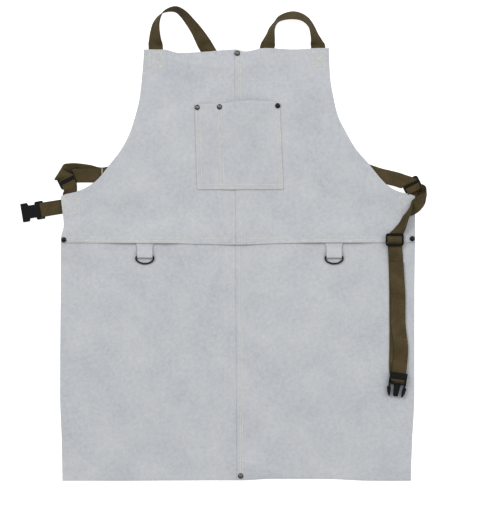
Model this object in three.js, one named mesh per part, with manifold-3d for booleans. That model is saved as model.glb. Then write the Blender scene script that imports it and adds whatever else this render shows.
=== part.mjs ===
// Leather bib apron with cross-back webbing straps, laid flat with its front up.
// Millimetres, +Z up out of the apron's front, +Y towards the bib's top edge, +X to the right.
import * as THREE from 'three';
import { mergeVertices } from 'three/addons/utils/BufferGeometryUtils.js';
import Module from 'manifold-3d';

const wasm = await Module();
wasm.setup();

// Driving dimensions
const LEATHER = 1.5;
const WEBBING_WIDTH = 25.4;
const WEBBING = 1.6;
const GAP = 0.3;
const LAID_GAP = 0.5;
const TOP_Y = 338;
const HEM_Y = -420;
const WAIST_LAP = { low: -2, high: 12 };
const SEAM_LAP = 11;
const SEAM_TOP_X = -3;
const SEAM_HEM_X = 1;
const CELL = 21;
const COLUMNS = 12;
const LAYER = LEATHER + GAP;
const SOFTEN = 34;
const DRAPE_FLAT = 36;
const OVERRUN = 1;
const THROUGH = 60;
const WELD = 1e-4;

const LEATHER_LOOK = { color: 0xbabcbf, roughness: 0.9, metalness: 0 };
const WEBBING_LOOK = { color: 0x4b3f2a, roughness: 0.85, metalness: 0 };
const PLASTIC_LOOK = { color: 0x151615, roughness: 0.45, metalness: 0 };
const RIVET_LOOK = { color: 0x34373a, roughness: 0.35, metalness: 1 };
const RING_LOOK = { color: 0x232523, roughness: 0.4, metalness: 0.8 };

// Outline of the leather: where its left and right edges lie at each height
const EDGES = [
  { y: 338, left: -168, right: 157 },
  { y: 290, left: -171, right: 159 },
  { y: 248, left: -176, right: 166 },
  { y: 220, left: -183, right: 173 },
  { y: 192, left: -192, right: 187 },
  { y: 164, left: -206, right: 203 },
  { y: 136, left: -227, right: 227 },
  { y: 108, left: -250, right: 250 },
  { y: 96, left: -267, right: 263 },
  { y: 87, left: -287, right: 281 },
  { y: 80, left: -313, right: 308 },
  { y: 28, left: -308.4, right: 308 },
  { y: 5, left: -313, right: 308 },
  { y: -100, left: -314, right: 307 },
  { y: -268, left: -315, right: 307 },
  { y: -352, left: -312, right: 303 },
  { y: -420, left: -311, right: 301 },
];

// How far the cut top edge, the hem and the waist seam wander from a straight line
const TOP_WAVE = [
  { x: -168, dy: -1 },
  { x: -134, dy: -1 },
  { x: -105, dy: -7 },
  { x: -61, dy: -5 },
  { x: -6, dy: -1 },
  { x: 10, dy: -4.5 },
  { x: 45, dy: 1.5 },
  { x: 97, dy: -1 },
  { x: 141, dy: 1.5 },
  { x: 157, dy: 1.5 },
];
const HEM_WAVE = [
  { x: -315, dy: 0 },
  { x: 0, dy: 1 },
  { x: 60, dy: 3.5 },
  { x: 150, dy: 3.5 },
  { x: 230, dy: 0 },
  { x: 308, dy: 0 },
];
const WAIST_WAVE = [
  { x: -315, dy: -0.5 },
  { x: -130, dy: -1.2 },
  { x: -6, dy: -3.8 },
  { x: 75, dy: -1.2 },
  { x: 150, dy: 0 },
  { x: 308, dy: 0 },
];
const WAVE_DEPTH = 70;
const WAIST_WAVE_DEPTH = 40;

// Soft folds standing up from the floor, each along a line
const FOLDS = [
  { x1: -115, y1: 322, x2: -24, y2: 308, width: 34, height: 2.4 },
  { x1: 100, y1: 345, x2: 92, y2: 250, width: 50, height: 3 },
  { x1: -212, y1: -125, x2: -200, y2: -430, width: 65, height: 4 },
  { x1: 125, y1: -130, x2: 150, y2: -430, width: 75, height: 4 },
  { x1: 5, y1: -396, x2: 90, y2: -412, width: 34, height: 3 },
  { x1: 262, y1: -370, x2: 268, y2: -430, width: 34, height: 3 },
  { x1: -318, y1: 8, x2: -262, y2: -22, width: 36, height: 3 },
];

// Rivets, with the leather pieces that each one clamps
const RIVETS = [
  { name: 'rivet_top', x: -4, y: 330, clamps: ['bib_left', 'bib_right'] },
  { name: 'rivet_pocket_left', x: -74, y: 235, clamps: ['bib_left', 'pocket'] },
  { name: 'rivet_pocket_pen', x: -35, y: 236, clamps: ['bib_left', 'pocket'] },
  { name: 'rivet_pocket_right', x: 67, y: 238, clamps: ['bib_right', 'pocket'] },
  { name: 'rivet_waist_left', x: -308, y: 3, clamps: ['skirt_left', 'bib_left'] },
  { name: 'rivet_waist_right', x: 303, y: 5, clamps: ['skirt_right', 'bib_right'] },
  { name: 'rivet_hem', x: 2, y: -411, clamps: ['skirt_left', 'skirt_right'] },
];
const RIVET = {
  capRadius: 4.6, capEdge: 0.8, crownRadius: 3.2, crownHeight: 1.7, capHeight: 2, backHeight: 1.1,
  shank: 1.7, hole: 2.1, holeSides: 6, sides: 10, lift: 2.1,
};

// D-rings and the leather loops that hold them below the waist seam
const RINGS = [
  { name: 'left', x: -166 },
  { name: 'right', x: 166 },
];
const RING = { barY: -26, width: 33.8, depth: 13, wire: 3.2, corner: 2.5, leg: 3.5, arcs: 3, sides: 7, reach: 6 };
const TAB = {
  topY: 8, leather: 1.3, width: 26.8, seamWidth: 31.5, clearance: 0.4, reach: 20,
  sewn: 6, crest: 2, eye: 9, eyeLip: 0.1, taper: 9,
};

// Webbing routes. side: -1 lies under the leather, 0 clear of it, 1 on the leather's front.
// lift is the height of the lower edge, across the plan direction of the width, tilt its slope.
const SHOULDER_LEFT = [
  { x: -147, y: 301, lift: 0, across: 0, tilt: 0, side: -1 },
  { x: -147, y: 341, lift: 0, across: 0, tilt: 0, side: -1 },
  { x: -148, y: 354, lift: 0, across: 0, tilt: 18, side: 0 },
  { x: -148, y: 369, lift: 0, across: 0, tilt: 45, side: 0 },
  { x: -145, y: 385, lift: 0, across: -15, tilt: 66, side: 0 },
  { x: -133, y: 402, lift: 0, across: -50, tilt: 90, side: 0 },
  { x: -113, y: 408, lift: 0, across: -90, tilt: 114, side: 0 },
  { x: -100, y: 401, lift: 0, across: -125, tilt: 134, side: 0 },
  { x: -84, y: 385, lift: 0, across: -148, tilt: 144, side: 0 },
  { x: -73, y: 369, lift: 0, across: -152, tilt: 156, side: 0 },
  { x: -65, y: 352, lift: 0, across: -151, tilt: 174, side: 0 },
  { x: -58.5, y: 341, lift: 0, across: -150, tilt: 180, side: -1 },
  { x: -24, y: 287, lift: 0, across: -142, tilt: 180, side: -1 },
  { x: 22, y: 238, lift: 0, across: -132, tilt: 180, side: -1 },
  { x: 89, y: 189, lift: 0, across: -121, tilt: 180, side: -1 },
  { x: 168, y: 147, lift: 0, across: -113, tilt: 180, side: -1 },
  { x: 240, y: 118.5, lift: 0, across: -106, tilt: 180, side: -1 },
  { x: 262, y: 113.5, lift: 2.5, across: -108, tilt: 180, side: 0 },
  { x: 277, y: 112, lift: 7.2, across: -120, tilt: 180, side: 0 },
  { x: 288, y: 113.6, lift: 7.8, across: -142, tilt: 180, side: 0 },
  { x: 296.2, y: 111.2, lift: 7.6, across: -154, tilt: 180, side: 0 },
  { x: 298.6, y: 106.5, lift: 2.3, across: -154, tilt: 180, side: 0 },
  { x: 300.4, y: 102.7, lift: 2.1, across: -154, tilt: 180, side: 0 },
];
const SHOULDER_RIGHT = [
  { x: 138, y: 303, lift: 0, across: 180, tilt: 0, side: -1 },
  { x: 138, y: 342, lift: 0, across: 180, tilt: 0, side: -1 },
  { x: 135.5, y: 352, lift: 0, across: 181, tilt: 34, side: 0 },
  { x: 131, y: 364, lift: 0, across: 184, tilt: 60, side: 0 },
  { x: 126, y: 377, lift: 0, across: 196, tilt: 90, side: 0 },
  { x: 114, y: 391, lift: 0, across: 228, tilt: 117, side: 0 },
  { x: 95, y: 397, lift: 0, across: 270, tilt: 125, side: 0 },
  { x: 73, y: 392, lift: 0, across: 312, tilt: 113, side: 0 },
  { x: 63, y: 384, lift: 0, across: 330, tilt: 90, side: 0 },
  { x: 56, y: 373, lift: 0, across: 340, tilt: 66, side: 0 },
  { x: 53, y: 361, lift: 0, across: 345, tilt: 44, side: 0 },
  { x: 50.5, y: 351, lift: 0, across: 348, tilt: 20, side: 0 },
  { x: 49, y: 342, lift: 0, across: 350, tilt: 0, side: -1 },
  { x: 39, y: 304, lift: 0.4, across: 338, tilt: 0, side: -1 },
  { x: 18, y: 271, lift: 2, across: 322, tilt: 0, side: -1 },
  { x: -20, y: 233, lift: 2, across: 309, tilt: 0, side: -1 },
  { x: -87, y: 187, lift: 0, across: 300, tilt: 0, side: -1 },
  { x: -166, y: 147, lift: 0, across: 292, tilt: 0, side: -1 },
  { x: -238, y: 117.5, lift: 0, across: 276, tilt: 0, side: -1 },
  { x: -266, y: 120, lift: 0, across: 268, tilt: 0, side: 0 },
  { x: -295, y: 123, lift: 0, across: 263, tilt: 0, side: 0 },
  { x: -309, y: 123, lift: 0.2, across: 254, tilt: 0, side: 0 },
  { x: -317, y: 121, lift: 2.6, across: 246, tilt: 0, side: 0 },
  { x: -320, y: 119.3, lift: 7.4, across: 239, tilt: 0, side: 0 },
  { x: -317, y: 118.4, lift: 12.6, across: 228, tilt: 0, side: 0 },
  { x: -311, y: 118.4, lift: 10.4, across: 213, tilt: 0, side: 0 },
  { x: -305.6, y: 113.9, lift: 7.6, across: 206, tilt: 0, side: 0 },
  { x: -303.4, y: 109.4, lift: 2.3, across: 206, tilt: 0, side: 0 },
  { x: -301.5, y: 105.6, lift: 2.1, across: 206, tilt: 0, side: 0 },
];
// The turned-back end of the right shoulder strap, sewn down on the strap beneath it
const SHOULDER_TAIL = [
  { x: -284, y: 114, lift: 2, across: 267, tilt: 0, side: 0 },
  { x: -266, y: 115.5, lift: 2, across: 269, tilt: 0, side: 0 },
  { x: -248, y: 115.8, lift: 1.9, across: 270, tilt: 0, side: 0 },
  { x: -242, y: 115.8, lift: 1.5, across: 270, tilt: 0, side: -1 },
  { x: -234, y: 115.6, lift: 1.5, across: 270, tilt: 0, side: -1 },
];
const CORNER_LEFT = [
  { x: -297, y: 50, lift: 1.9, across: 0, tilt: 0, side: -1 },
  { x: -297, y: 82, lift: 1.9, across: 4, tilt: 0, side: -1 },
  { x: -296.6, y: 89, lift: 4, across: 15, tilt: 0, side: 0 },
  { x: -296.5, y: 95.3, lift: 7.6, across: 26, tilt: 0, side: 0 },
  { x: -298.3, y: 98.9, lift: 7.6, across: 26, tilt: 0, side: 0 },
  { x: -300.1, y: 102.7, lift: 4.4, across: 26, tilt: 0, side: 0 },
];
const CORNER_RIGHT = [
  { x: 296, y: 52, lift: 1.9, across: 8, tilt: 0, side: -1 },
  { x: 301.5, y: 85, lift: 1.9, across: 12, tilt: 0, side: -1 },
  { x: 304, y: 89.4, lift: 4.8, across: 18, tilt: 0, side: 0 },
  { x: 305.2, y: 92.2, lift: 7.8, across: 26, tilt: 0, side: 0 },
  { x: 303.6, y: 96.2, lift: 7.8, across: 26, tilt: 0, side: 0 },
  { x: 301.6, y: 100.2, lift: 4.4, across: 26, tilt: 0, side: 0 },
];
const WAIST_LEFT = [
  { x: -282, y: 62.5, lift: 0, across: 90, tilt: 0, side: -1 },
  { x: -312, y: 61, lift: 0, across: 94, tilt: 0, side: -1 },
  { x: -322, y: 59.5, lift: 1.1, across: 98, tilt: 0, side: 0 },
  { x: -332, y: 57.9, lift: 3.6, across: 99, tilt: 0, side: 0 },
  { x: -341, y: 56.4, lift: 6.2, across: 99, tilt: 0, side: 0 },
  { x: -347, y: 55.4, lift: 6.2, across: 99, tilt: 0, side: 0 },
  { x: -350.4, y: 54.8, lift: 3.4, across: 99, tilt: 0, side: 0 },
  { x: -347, y: 55.4, lift: 0.4, across: 99, tilt: 0, side: 0 },
  { x: -341, y: 56.4, lift: 0.2, across: 99, tilt: 0, side: 0 },
  { x: -331, y: 58.1, lift: 0.2, across: 99, tilt: 0, side: 0 },
];
const WAIST_RIGHT = [
  { x: 282, y: 66, lift: 0, across: 90, tilt: 0, side: -1 },
  { x: 306, y: 68, lift: 0, across: 96, tilt: 0, side: -1 },
  { x: 314.5, y: 74, lift: 0, across: 104, tilt: 0, side: 0 },
  { x: 321, y: 82.5, lift: 0.6, across: 117, tilt: 0, side: 0 },
  { x: 326, y: 87.4, lift: 7, across: 128, tilt: 0, side: 0 },
  { x: 322, y: 84.5, lift: 13.2, across: 141, tilt: 0, side: 0 },
  { x: 317.8, y: 77, lift: 13, across: 156, tilt: 0, side: 0 },
  { x: 315, y: 68.5, lift: 5.4, across: 166, tilt: 0, side: 1 },
  { x: 308.5, y: 63, lift: 3, across: 135, tilt: 0, side: 1 },
  { x: 300.5, y: 60.5, lift: 2.6, across: 82, tilt: 0, side: 1 },
  { x: 296, y: 57, lift: 5, across: 52, tilt: 0, side: 1 },
  { x: 293, y: 48, lift: 7, across: 32, tilt: 0, side: 1 },
  { x: 287.5, y: 36, lift: 4.6, across: 18, tilt: 0, side: 1 },
  { x: 281, y: 23.5, lift: 1, across: 6, tilt: 0, side: 1 },
  { x: 275.8, y: 12, lift: 0.2, across: 0, tilt: 0, side: 1 },
  { x: 273.9, y: 9.2, lift: 0.5, across: 0, tilt: 0, side: 1 },
  { x: 273.5, y: 4.2, lift: 6, across: 0, tilt: 0, side: 1 },
  { x: 273.5, y: -0.2, lift: 6, across: 0, tilt: 0, side: 1 },
  { x: 273.5, y: -5.2, lift: 0.5, across: 0, tilt: 0, side: 1 },
  { x: 273.6, y: -8.5, lift: 0, across: 0, tilt: 0, side: 1 },
  { x: 275.3, y: -85, lift: 0, across: 0, tilt: 0, side: 1 },
  { x: 275.5, y: -195, lift: 0, across: -1, tilt: 0, side: 1 },
  { x: 277.4, y: -214, lift: 0.1, across: -6, tilt: 0, side: 1 },
  { x: 280.7, y: -230, lift: 0.1, across: -13.4, tilt: 0, side: 1 },
  { x: 277.5, y: -244, lift: 0.2, across: -13.4, tilt: 0, side: 1 },
  { x: 276.8, y: -246.7, lift: 2.8, across: -13.4, tilt: 0, side: 1 },
  { x: 277.5, y: -244, lift: 5.6, across: -13.4, tilt: 0, side: 1 },
  { x: 280.7, y: -230, lift: 5.6, across: -13.4, tilt: 0, side: 1 },
  { x: 282.8, y: -208, lift: 2.4, across: -6, tilt: 0, side: 1 },
  { x: 282, y: -186, lift: 2, across: -1, tilt: 0, side: 1 },
  { x: 279.4, y: -160, lift: 2, across: 0, tilt: 0, side: 1 },
  { x: 278.2, y: -90, lift: 2, across: 0, tilt: 0, side: 1 },
  { x: 277, y: -32, lift: 2, across: 0, tilt: 0, side: 1 },
];
const WEBBING_STEP = 15;
const WEBBING_TWIST = 11;
const UNDER_LEATHER = -0.05;

// Moulded hardware for one-inch webbing
const SLIDE = { width: 32, slotWidth: 27, bar: 3, slot: 6.5, middle: 4, thick: 3, corner: 3 };
const CORNER_SLIDES = [
  { name: 'corner_slide_left', x: -302, y: 106.5, turn: 26, bottom: 3.9 },
  { name: 'corner_slide_right', x: 300, y: 103.5, turn: 26, bottom: 3.9 },
];
const WAIST_SLIDE = { name: 'waist_slide', x: 273.5, y: 2, reach: 10, above: 2.1 };
// Buckle halves, measured along from the webbing bar, with half the width and heights above the base
const SOCKET = { x: -343, y: 56, turn: 189.4, bottom: 0.4, thick: 8.8 };
const SOCKET_OUTLINE = [
  { along: 0, half: 16 },
  { along: 13, half: 16 },
  { along: 14.5, half: 11.5 },
  { along: 26, half: 11.5 },
  { along: 27.5, half: 16.5 },
  { along: 39.5, half: 16.5 },
];
const SOCKET_CUTS = {
  slot: { from: 4, to: 10.5, half: 13.4, low: -1, high: 10 },
  barFoot: { from: -1, to: 5, half: 13.4, low: -1, high: 2.2 },
  barTop: { from: -1, to: 5, half: 13.4, low: 5.3, high: 10 },
  windows: { from: 15, to: 25.5, half: 20, low: 2, high: 6.8 },
  throat: { from: 14, to: 41, half: 9.5, low: 2, high: 6.8 },
  mouth: { from: 27, to: 41, half: 13.6, low: 2, high: 6.8 },
};
const PLUG = { x: 277.5, y: -243.8, turn: -103.4, reach: 16 };
const PLUG_BODY = { from: -14, to: 7.2, half: 15.4, low: 0, high: 10.2 };
const PLUG_CUTS = {
  channel: { from: -15, to: 4.6, half: 13.4, low: -1, high: 7.9 },
  window: { from: -3, to: 4.6, half: 13.4, low: 0, high: 11 },
};
const PLUG_BARS = {
  anchor: { from: -0.8, to: 1.2, half: 14, low: 2.6, high: 4.7 },
  tongue: { from: 6, to: 28, half: 5.5, low: 2.4, high: 7 },
};
const PRONG = { low: 2.4, thick: 4.6 };
const PRONG_OUTLINE = [
  { along: 6, aside: 12 },
  { along: 11, aside: 11.6 },
  { along: 14, aside: 9.8 },
  { along: 22, aside: 9.6 },
  { along: 29, aside: 10.4 },
  { along: 29.3, aside: 11.8 },
  { along: 22, aside: 15.6 },
  { along: 13.5, aside: 17.2 },
  { along: 12, aside: 16.8 },
  { along: 11.4, aside: 14.9 },
  { along: 6, aside: 15 },
];

const radians = THREE.MathUtils.degToRad;

// 0 at or below 0, 1 at or above 1, with a soft start and end between
function soften(t) {
  return THREE.MathUtils.smoothstep(t, 0, 1);
}

// 1 within a flat distance, easing to 0 over the fade beyond it
function plateau(distance, flat, fade) {
  return 1 - soften((distance - flat) / fade);
}

// Smooth curve through one column of a table, never passing its neighbouring values
function columnAt(rows, key, column, at) {
  const rising = rows[1][key] > rows[0][key] ? 1 : -1;
  let i = 0;
  while (i < rows.length - 2 && rising * (at - rows[i + 1][key]) > 0) i += 1;
  const chord = (k) => (rows[k + 1][column] - rows[k][column]) / (rows[k + 1][key] - rows[k][key]);
  const slope = (k) => {
    if (k === 0 || k === rows.length - 1) return 0;
    const before = chord(k - 1);
    const after = chord(k);
    return before * after > 0 ? (2 * before * after) / (before + after) : 0;
  };
  const span = rows[i + 1][key] - rows[i][key];
  const t = THREE.MathUtils.clamp((at - rows[i][key]) / span, 0, 1);
  const [a, b] = [rows[i][column], rows[i + 1][column]];
  const start = (1 + 2 * t) * (1 - t) * (1 - t) * a + t * (1 - t) * (1 - t) * slope(i) * span;
  return start + t * t * (3 - 2 * t) * b + t * t * (t - 1) * slope(i + 1) * span;
}

// Closed solid between two equal grids of points: upper rows and lower rows
function gridSolid(upper, lower) {
  const columns = upper[0].length;
  const points = [...upper.flat(), ...lower.flat()];
  const half = upper.length * columns;
  const at = (i, j) => i * columns + j;
  const faces = [];
  const quad = (a, b, c, d) => faces.push(a, b, c, a, c, d);
  for (let i = 0; i < upper.length - 1; i += 1) {
    for (let j = 0; j < columns - 1; j += 1) {
      quad(at(i, j), at(i + 1, j), at(i + 1, j + 1), at(i, j + 1));
      quad(half + at(i, j), half + at(i, j + 1), half + at(i + 1, j + 1), half + at(i + 1, j));
    }
    quad(at(i, 0), half + at(i, 0), half + at(i + 1, 0), at(i + 1, 0));
    const end = columns - 1;
    quad(at(i, end), at(i + 1, end), half + at(i + 1, end), half + at(i, end));
  }
  const last = upper.length - 1;
  for (let j = 0; j < columns - 1; j += 1) {
    quad(at(0, j), at(0, j + 1), half + at(0, j + 1), half + at(0, j));
    quad(at(last, j), half + at(last, j), half + at(last, j + 1), at(last, j + 1));
  }
  const geometry = new THREE.BufferGeometry().setFromPoints(points);
  geometry.setIndex(faces);
  return geometry;
}

// A closed geometry as a solid that can be joined and cut
function toSolid(geometry) {
  const bare = geometry.clone();
  bare.deleteAttribute('normal');
  bare.deleteAttribute('uv');
  const merged = mergeVertices(bare, WELD);
  const vertProperties = new Float32Array(merged.attributes.position.array);
  const triVerts = new Uint32Array(merged.index.array);
  return new wasm.Manifold(new wasm.Mesh({ numProp: 3, vertProperties, triVerts }));
}

function toGeometry(solid) {
  const mesh = solid.getMesh();
  const geometry = new THREE.BufferGeometry();
  geometry.setAttribute('position', new THREE.BufferAttribute(new Float32Array(mesh.vertProperties), 3));
  geometry.setIndex(new THREE.BufferAttribute(new Uint32Array(mesh.triVerts), 1));
  return geometry;
}

function block(x1, x2, y1, y2, z1, z2) {
  const box = new THREE.BoxGeometry(x2 - x1, y2 - y1, z2 - z1);
  return toSolid(box.translate((x1 + x2) / 2, (y1 + y2) / 2, (z1 + z2) / 2));
}

// Block across the middle of a buckle half
function slab({ from, to, half, low, high }) {
  return block(from, to, -half, half, low, high);
}

const apron = new THREE.Group();

function place(name, geometry, look) {
  const flat = geometry.index ? geometry.toNonIndexed() : geometry;
  flat.computeVertexNormals();
  const mesh = new THREE.Mesh(flat, new THREE.MeshStandardMaterial(look));
  mesh.name = name;
  apron.add(mesh);
  return mesh;
}

// Samples along a webbing route: plan place, height of the lower edge and direction of the width
function routeSamples(rows) {
  const curve = new THREE.CatmullRomCurve3(rows.map((row) => new THREE.Vector3(row.x, row.y, 0)));
  const indexed = rows.map((row, index) => ({ ...row, index }));
  const samples = [];
  for (let i = 0; i < rows.length - 1; i += 1) {
    const rise = rows[i + 1].lift - rows[i].lift;
    const length = Math.hypot(rows[i + 1].x - rows[i].x, rows[i + 1].y - rows[i].y, rise);
    const twist = Math.abs(rows[i + 1].tilt - rows[i].tilt) / WEBBING_TWIST;
    const steps = Math.max(2, Math.round(length / WEBBING_STEP), Math.round(twist));
    const isLast = i === rows.length - 2;
    for (let k = 0; k < steps + (isLast ? 1 : 0); k += 1) {
      const at = i + k / steps;
      const sample = curve.getPoint(at / (rows.length - 1));
      const value = (column) => columnAt(indexed, 'index', column, at);
      const across = radians(value('across'));
      const tilt = radians(value('tilt'));
      const width = new THREE.Vector3(
        Math.cos(tilt) * Math.cos(across),
        Math.cos(tilt) * Math.sin(across),
        Math.sin(tilt),
      );
      samples.push({ x: sample.x, y: sample.y, lift: value('lift'), side: value('side'), width });
    }
  }
  return samples;
}

const routes = {
  shoulder_strap_left: routeSamples(SHOULDER_LEFT),
  shoulder_strap_right: routeSamples(SHOULDER_RIGHT),
  shoulder_strap_tail: routeSamples(SHOULDER_TAIL),
  corner_strap_left: routeSamples(CORNER_LEFT),
  corner_strap_right: routeSamples(CORNER_RIGHT),
  waist_strap_left: routeSamples(WAIST_LEFT),
  waist_strap_right: routeSamples(WAIST_RIGHT),
};
const beneath = Object.values(routes).flat().filter((sample) => sample.side < UNDER_LEATHER);

// Height of the floor side of a lone leather layer: folds, webbing and rivet backs under it
function foldHeight(x, y) {
  return FOLDS.reduce((sum, fold) => {
    const point = new THREE.Vector3(x, y, 0);
    const start = new THREE.Vector3(fold.x1, fold.y1, 0);
    const line = new THREE.Line3(start, new THREE.Vector3(fold.x2, fold.y2, 0));
    const distance = line.closestPointToPoint(point, true, new THREE.Vector3()).distanceTo(point);
    return sum + fold.height * plateau(distance, 0, fold.width);
  }, 0);
}

function ground(x, y) {
  const webbing = beneath.map((sample) => {
    const distance = Math.hypot(x - sample.x, y - sample.y);
    return (sample.lift + WEBBING + LAID_GAP) * plateau(distance, DRAPE_FLAT, SOFTEN);
  });
  const backs = RIVETS.map((rivet) => {
    const distance = Math.hypot(x - rivet.x, y - rivet.y);
    return RIVET.lift * plateau(distance, CELL, SOFTEN);
  });
  return foldHeight(x, y) + Math.max(...webbing) + Math.max(...backs);
}

function seamX(y) {
  return THREE.MathUtils.mapLinear(y, TOP_Y, HEM_Y, SEAM_TOP_X, SEAM_HEM_X);
}

// 1 over a lap, easing to 0 on the side that each layer runs out to
const rightOfSeam = (x, y) => plateau(x - seamX(y), SEAM_LAP / 2 + GAP, SOFTEN);
const leftOfSeam = (x, y) => plateau(seamX(y) - x, SEAM_LAP / 2 + GAP, SOFTEN);
const aboveWaist = (y) => plateau(y, WAIST_LAP.high + GAP, SOFTEN);
const belowWaist = (y) => plateau(-y, GAP - WAIST_LAP.low, SOFTEN);

// Extra height of the bib where a D-ring's loop is sewn in under its lower edge
function tabLift(x, y) {
  const aside = Math.min(...RINGS.map((ring) => Math.abs(x - ring.x)));
  const raised = 2 * (TAB.leather + GAP);
  return raised * plateau(aside, TAB.seamWidth / 2 + CELL, SOFTEN) * aboveWaist(y);
}

// Floor side of each leather panel, in the order the panels are laid
const PANEL_HEIGHT = {
  skirt_left: (x, y) => ground(x, y),
  skirt_right: (x, y) => ground(x, y) + LAYER * rightOfSeam(x, y),
  bib_left: (x, y) => ground(x, y) + tabLift(x, y) + LAYER * aboveWaist(y) * (1 + leftOfSeam(x, y)),
  bib_right: (x, y) => {
    const lap = LAYER * aboveWaist(y) * (1 + rightOfSeam(x, y));
    return ground(x, y) + tabLift(x, y) + lap + LAYER * rightOfSeam(x, y);
  },
};

// Highest leather face at a place, seams included, for what lies on the front
function front(x, y) {
  const seam = rightOfSeam(x, y) * leftOfSeam(x, y);
  const waist = aboveWaist(y) * belowWaist(y);
  return ground(x, y) + LEATHER + tabLift(x, y) * belowWaist(y) + LAYER * (seam + waist + seam * waist);
}

// Highest front face and lowest floor side of the leather within a square about a place
function nearby(height, x, y, reach) {
  const offsets = [-reach, 0, reach];
  return offsets.flatMap((dx) => offsets.map((dy) => height(x + dx, y + dy)));
}
const frontUnder = (x, y, reach) => Math.max(...nearby(front, x, y, reach));
const groundUnder = (x, y, reach) => Math.min(...nearby(ground, x, y, reach));

// Rows of a panel: every height of the outline table within it, with steps no longer than a cell
function rowHeights(from, to) {
  const marks = EDGES.map((row) => row.y).filter((y) => y < from && y > to);
  const laps = [WAIST_LAP.high, WAIST_LAP.low].filter((y) => y < from && y > to);
  const stops = [from, ...marks, ...laps, to].sort((a, b) => b - a);
  const rows = [from];
  for (let i = 0; i < stops.length - 1; i += 1) {
    const steps = Math.max(1, Math.ceil((stops[i] - stops[i + 1]) / CELL));
    for (let k = 1; k <= steps; k += 1) rows.push(THREE.MathUtils.lerp(stops[i], stops[i + 1], k / steps));
  }
  return rows.filter((y, i) => i === 0 || rows[i - 1] - y > 1);
}

// The cut edges wander, and the rows next to them follow
function wander(x, y) {
  const top = columnAt(TOP_WAVE, 'x', 'dy', x) * soften(1 - (TOP_Y - y) / WAVE_DEPTH);
  const waist = columnAt(WAIST_WAVE, 'x', 'dy', x) * soften(1 - Math.abs(y) / WAIST_WAVE_DEPTH);
  return top + waist + columnAt(HEM_WAVE, 'x', 'dy', x) * soften(1 - (y - HEM_Y) / WAVE_DEPTH);
}

function panel(name, isLeft, fromY, toY) {
  const rows = rowHeights(fromY, toY).map((y) => {
    const inner = [seamX(y) - SEAM_LAP / 2, seamX(y) + SEAM_LAP / 2];
    const outer = columnAt(EDGES, 'y', isLeft ? 'left' : 'right', y);
    const across = [];
    for (let k = 0; k < COLUMNS; k += 1) {
      across.push(THREE.MathUtils.lerp(outer, isLeft ? inner[0] : inner[1], k / COLUMNS));
    }
    const xs = isLeft ? [...across, ...inner] : [...inner, ...across.reverse()];
    return xs.map((x) => new THREE.Vector3(x, y + wander(x, y), PANEL_HEIGHT[name](x, y)));
  });
  const raised = rows.map((row) => row.map((point) => point.clone().setZ(point.z + LEATHER)));
  return toSolid(gridSolid(raised, rows));
}

// Pocket: sewn down at its sides, foot and pen division, with both mouths standing open
const POCKET = {
  top: 240.5, topRight: 244, foot: 91, left: -79, leftFoot: -75, right: 71, rightFoot: 77.5, bow: 4,
  division: -34.5, divisionFoot: -30, mouth: 7.5, penMouth: 6.5, sewn: 9.5, openDepth: 0.9, rows: 12,
};
const POCKET_SPLITS = { pen: 4, main: 8 };

function pocketPanel() {
  const upper = [];
  const lower = [];
  for (let i = 0; i <= POCKET.rows; i += 1) {
    const down = i / POCKET.rows;
    const left = THREE.MathUtils.lerp(POCKET.left, POCKET.leftFoot, down);
    const right = THREE.MathUtils.lerp(POCKET.right, POCKET.rightFoot, down);
    const division = THREE.MathUtils.lerp(POCKET.division, POCKET.divisionFoot, down);
    const spread = (from, to, count, mouth) => {
      const open = Array.from({ length: count + 1 }, (_, k) => ({
        x: THREE.MathUtils.lerp(from + POCKET.sewn, to - POCKET.sewn, k / count),
        bulge: mouth * Math.sin((Math.PI * k) / count),
      }));
      return [{ x: from, bulge: 0 }, ...open, { x: to, bulge: 0 }];
    };
    const pen = spread(left, division, POCKET_SPLITS.pen, POCKET.penMouth).slice(0, -1);
    const cells = [...pen, ...spread(division, right, POCKET_SPLITS.main, POCKET.mouth)];
    const points = cells.map(({ x, bulge }) => {
      const aside = (2 * (x - left)) / (right - left) - 1;
      const level = THREE.MathUtils.lerp(POCKET.top, POCKET.topRight, (aside + 1) / 2);
      const top = level + POCKET.bow * (1 - aside * aside);
      const y = THREE.MathUtils.lerp(top, POCKET.foot, down);
      const swell = bulge * (1 - soften(down / POCKET.openDepth));
      return new THREE.Vector3(x, y, front(x, y) + LAID_GAP + swell);
    });
    lower.push(points);
    upper.push(points.map((point) => point.clone().setZ(point.z + LEATHER)));
  }
  return toSolid(gridSolid(upper, lower));
}

const leather = {
  skirt_left: panel('skirt_left', true, WAIST_LAP.high, HEM_Y),
  skirt_right: panel('skirt_right', false, WAIST_LAP.high, HEM_Y),
  bib_left: panel('bib_left', true, TOP_Y, WAIST_LAP.low),
  bib_right: panel('bib_right', false, TOP_Y, WAIST_LAP.low),
  pocket: pocketPanel(),
};

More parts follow.
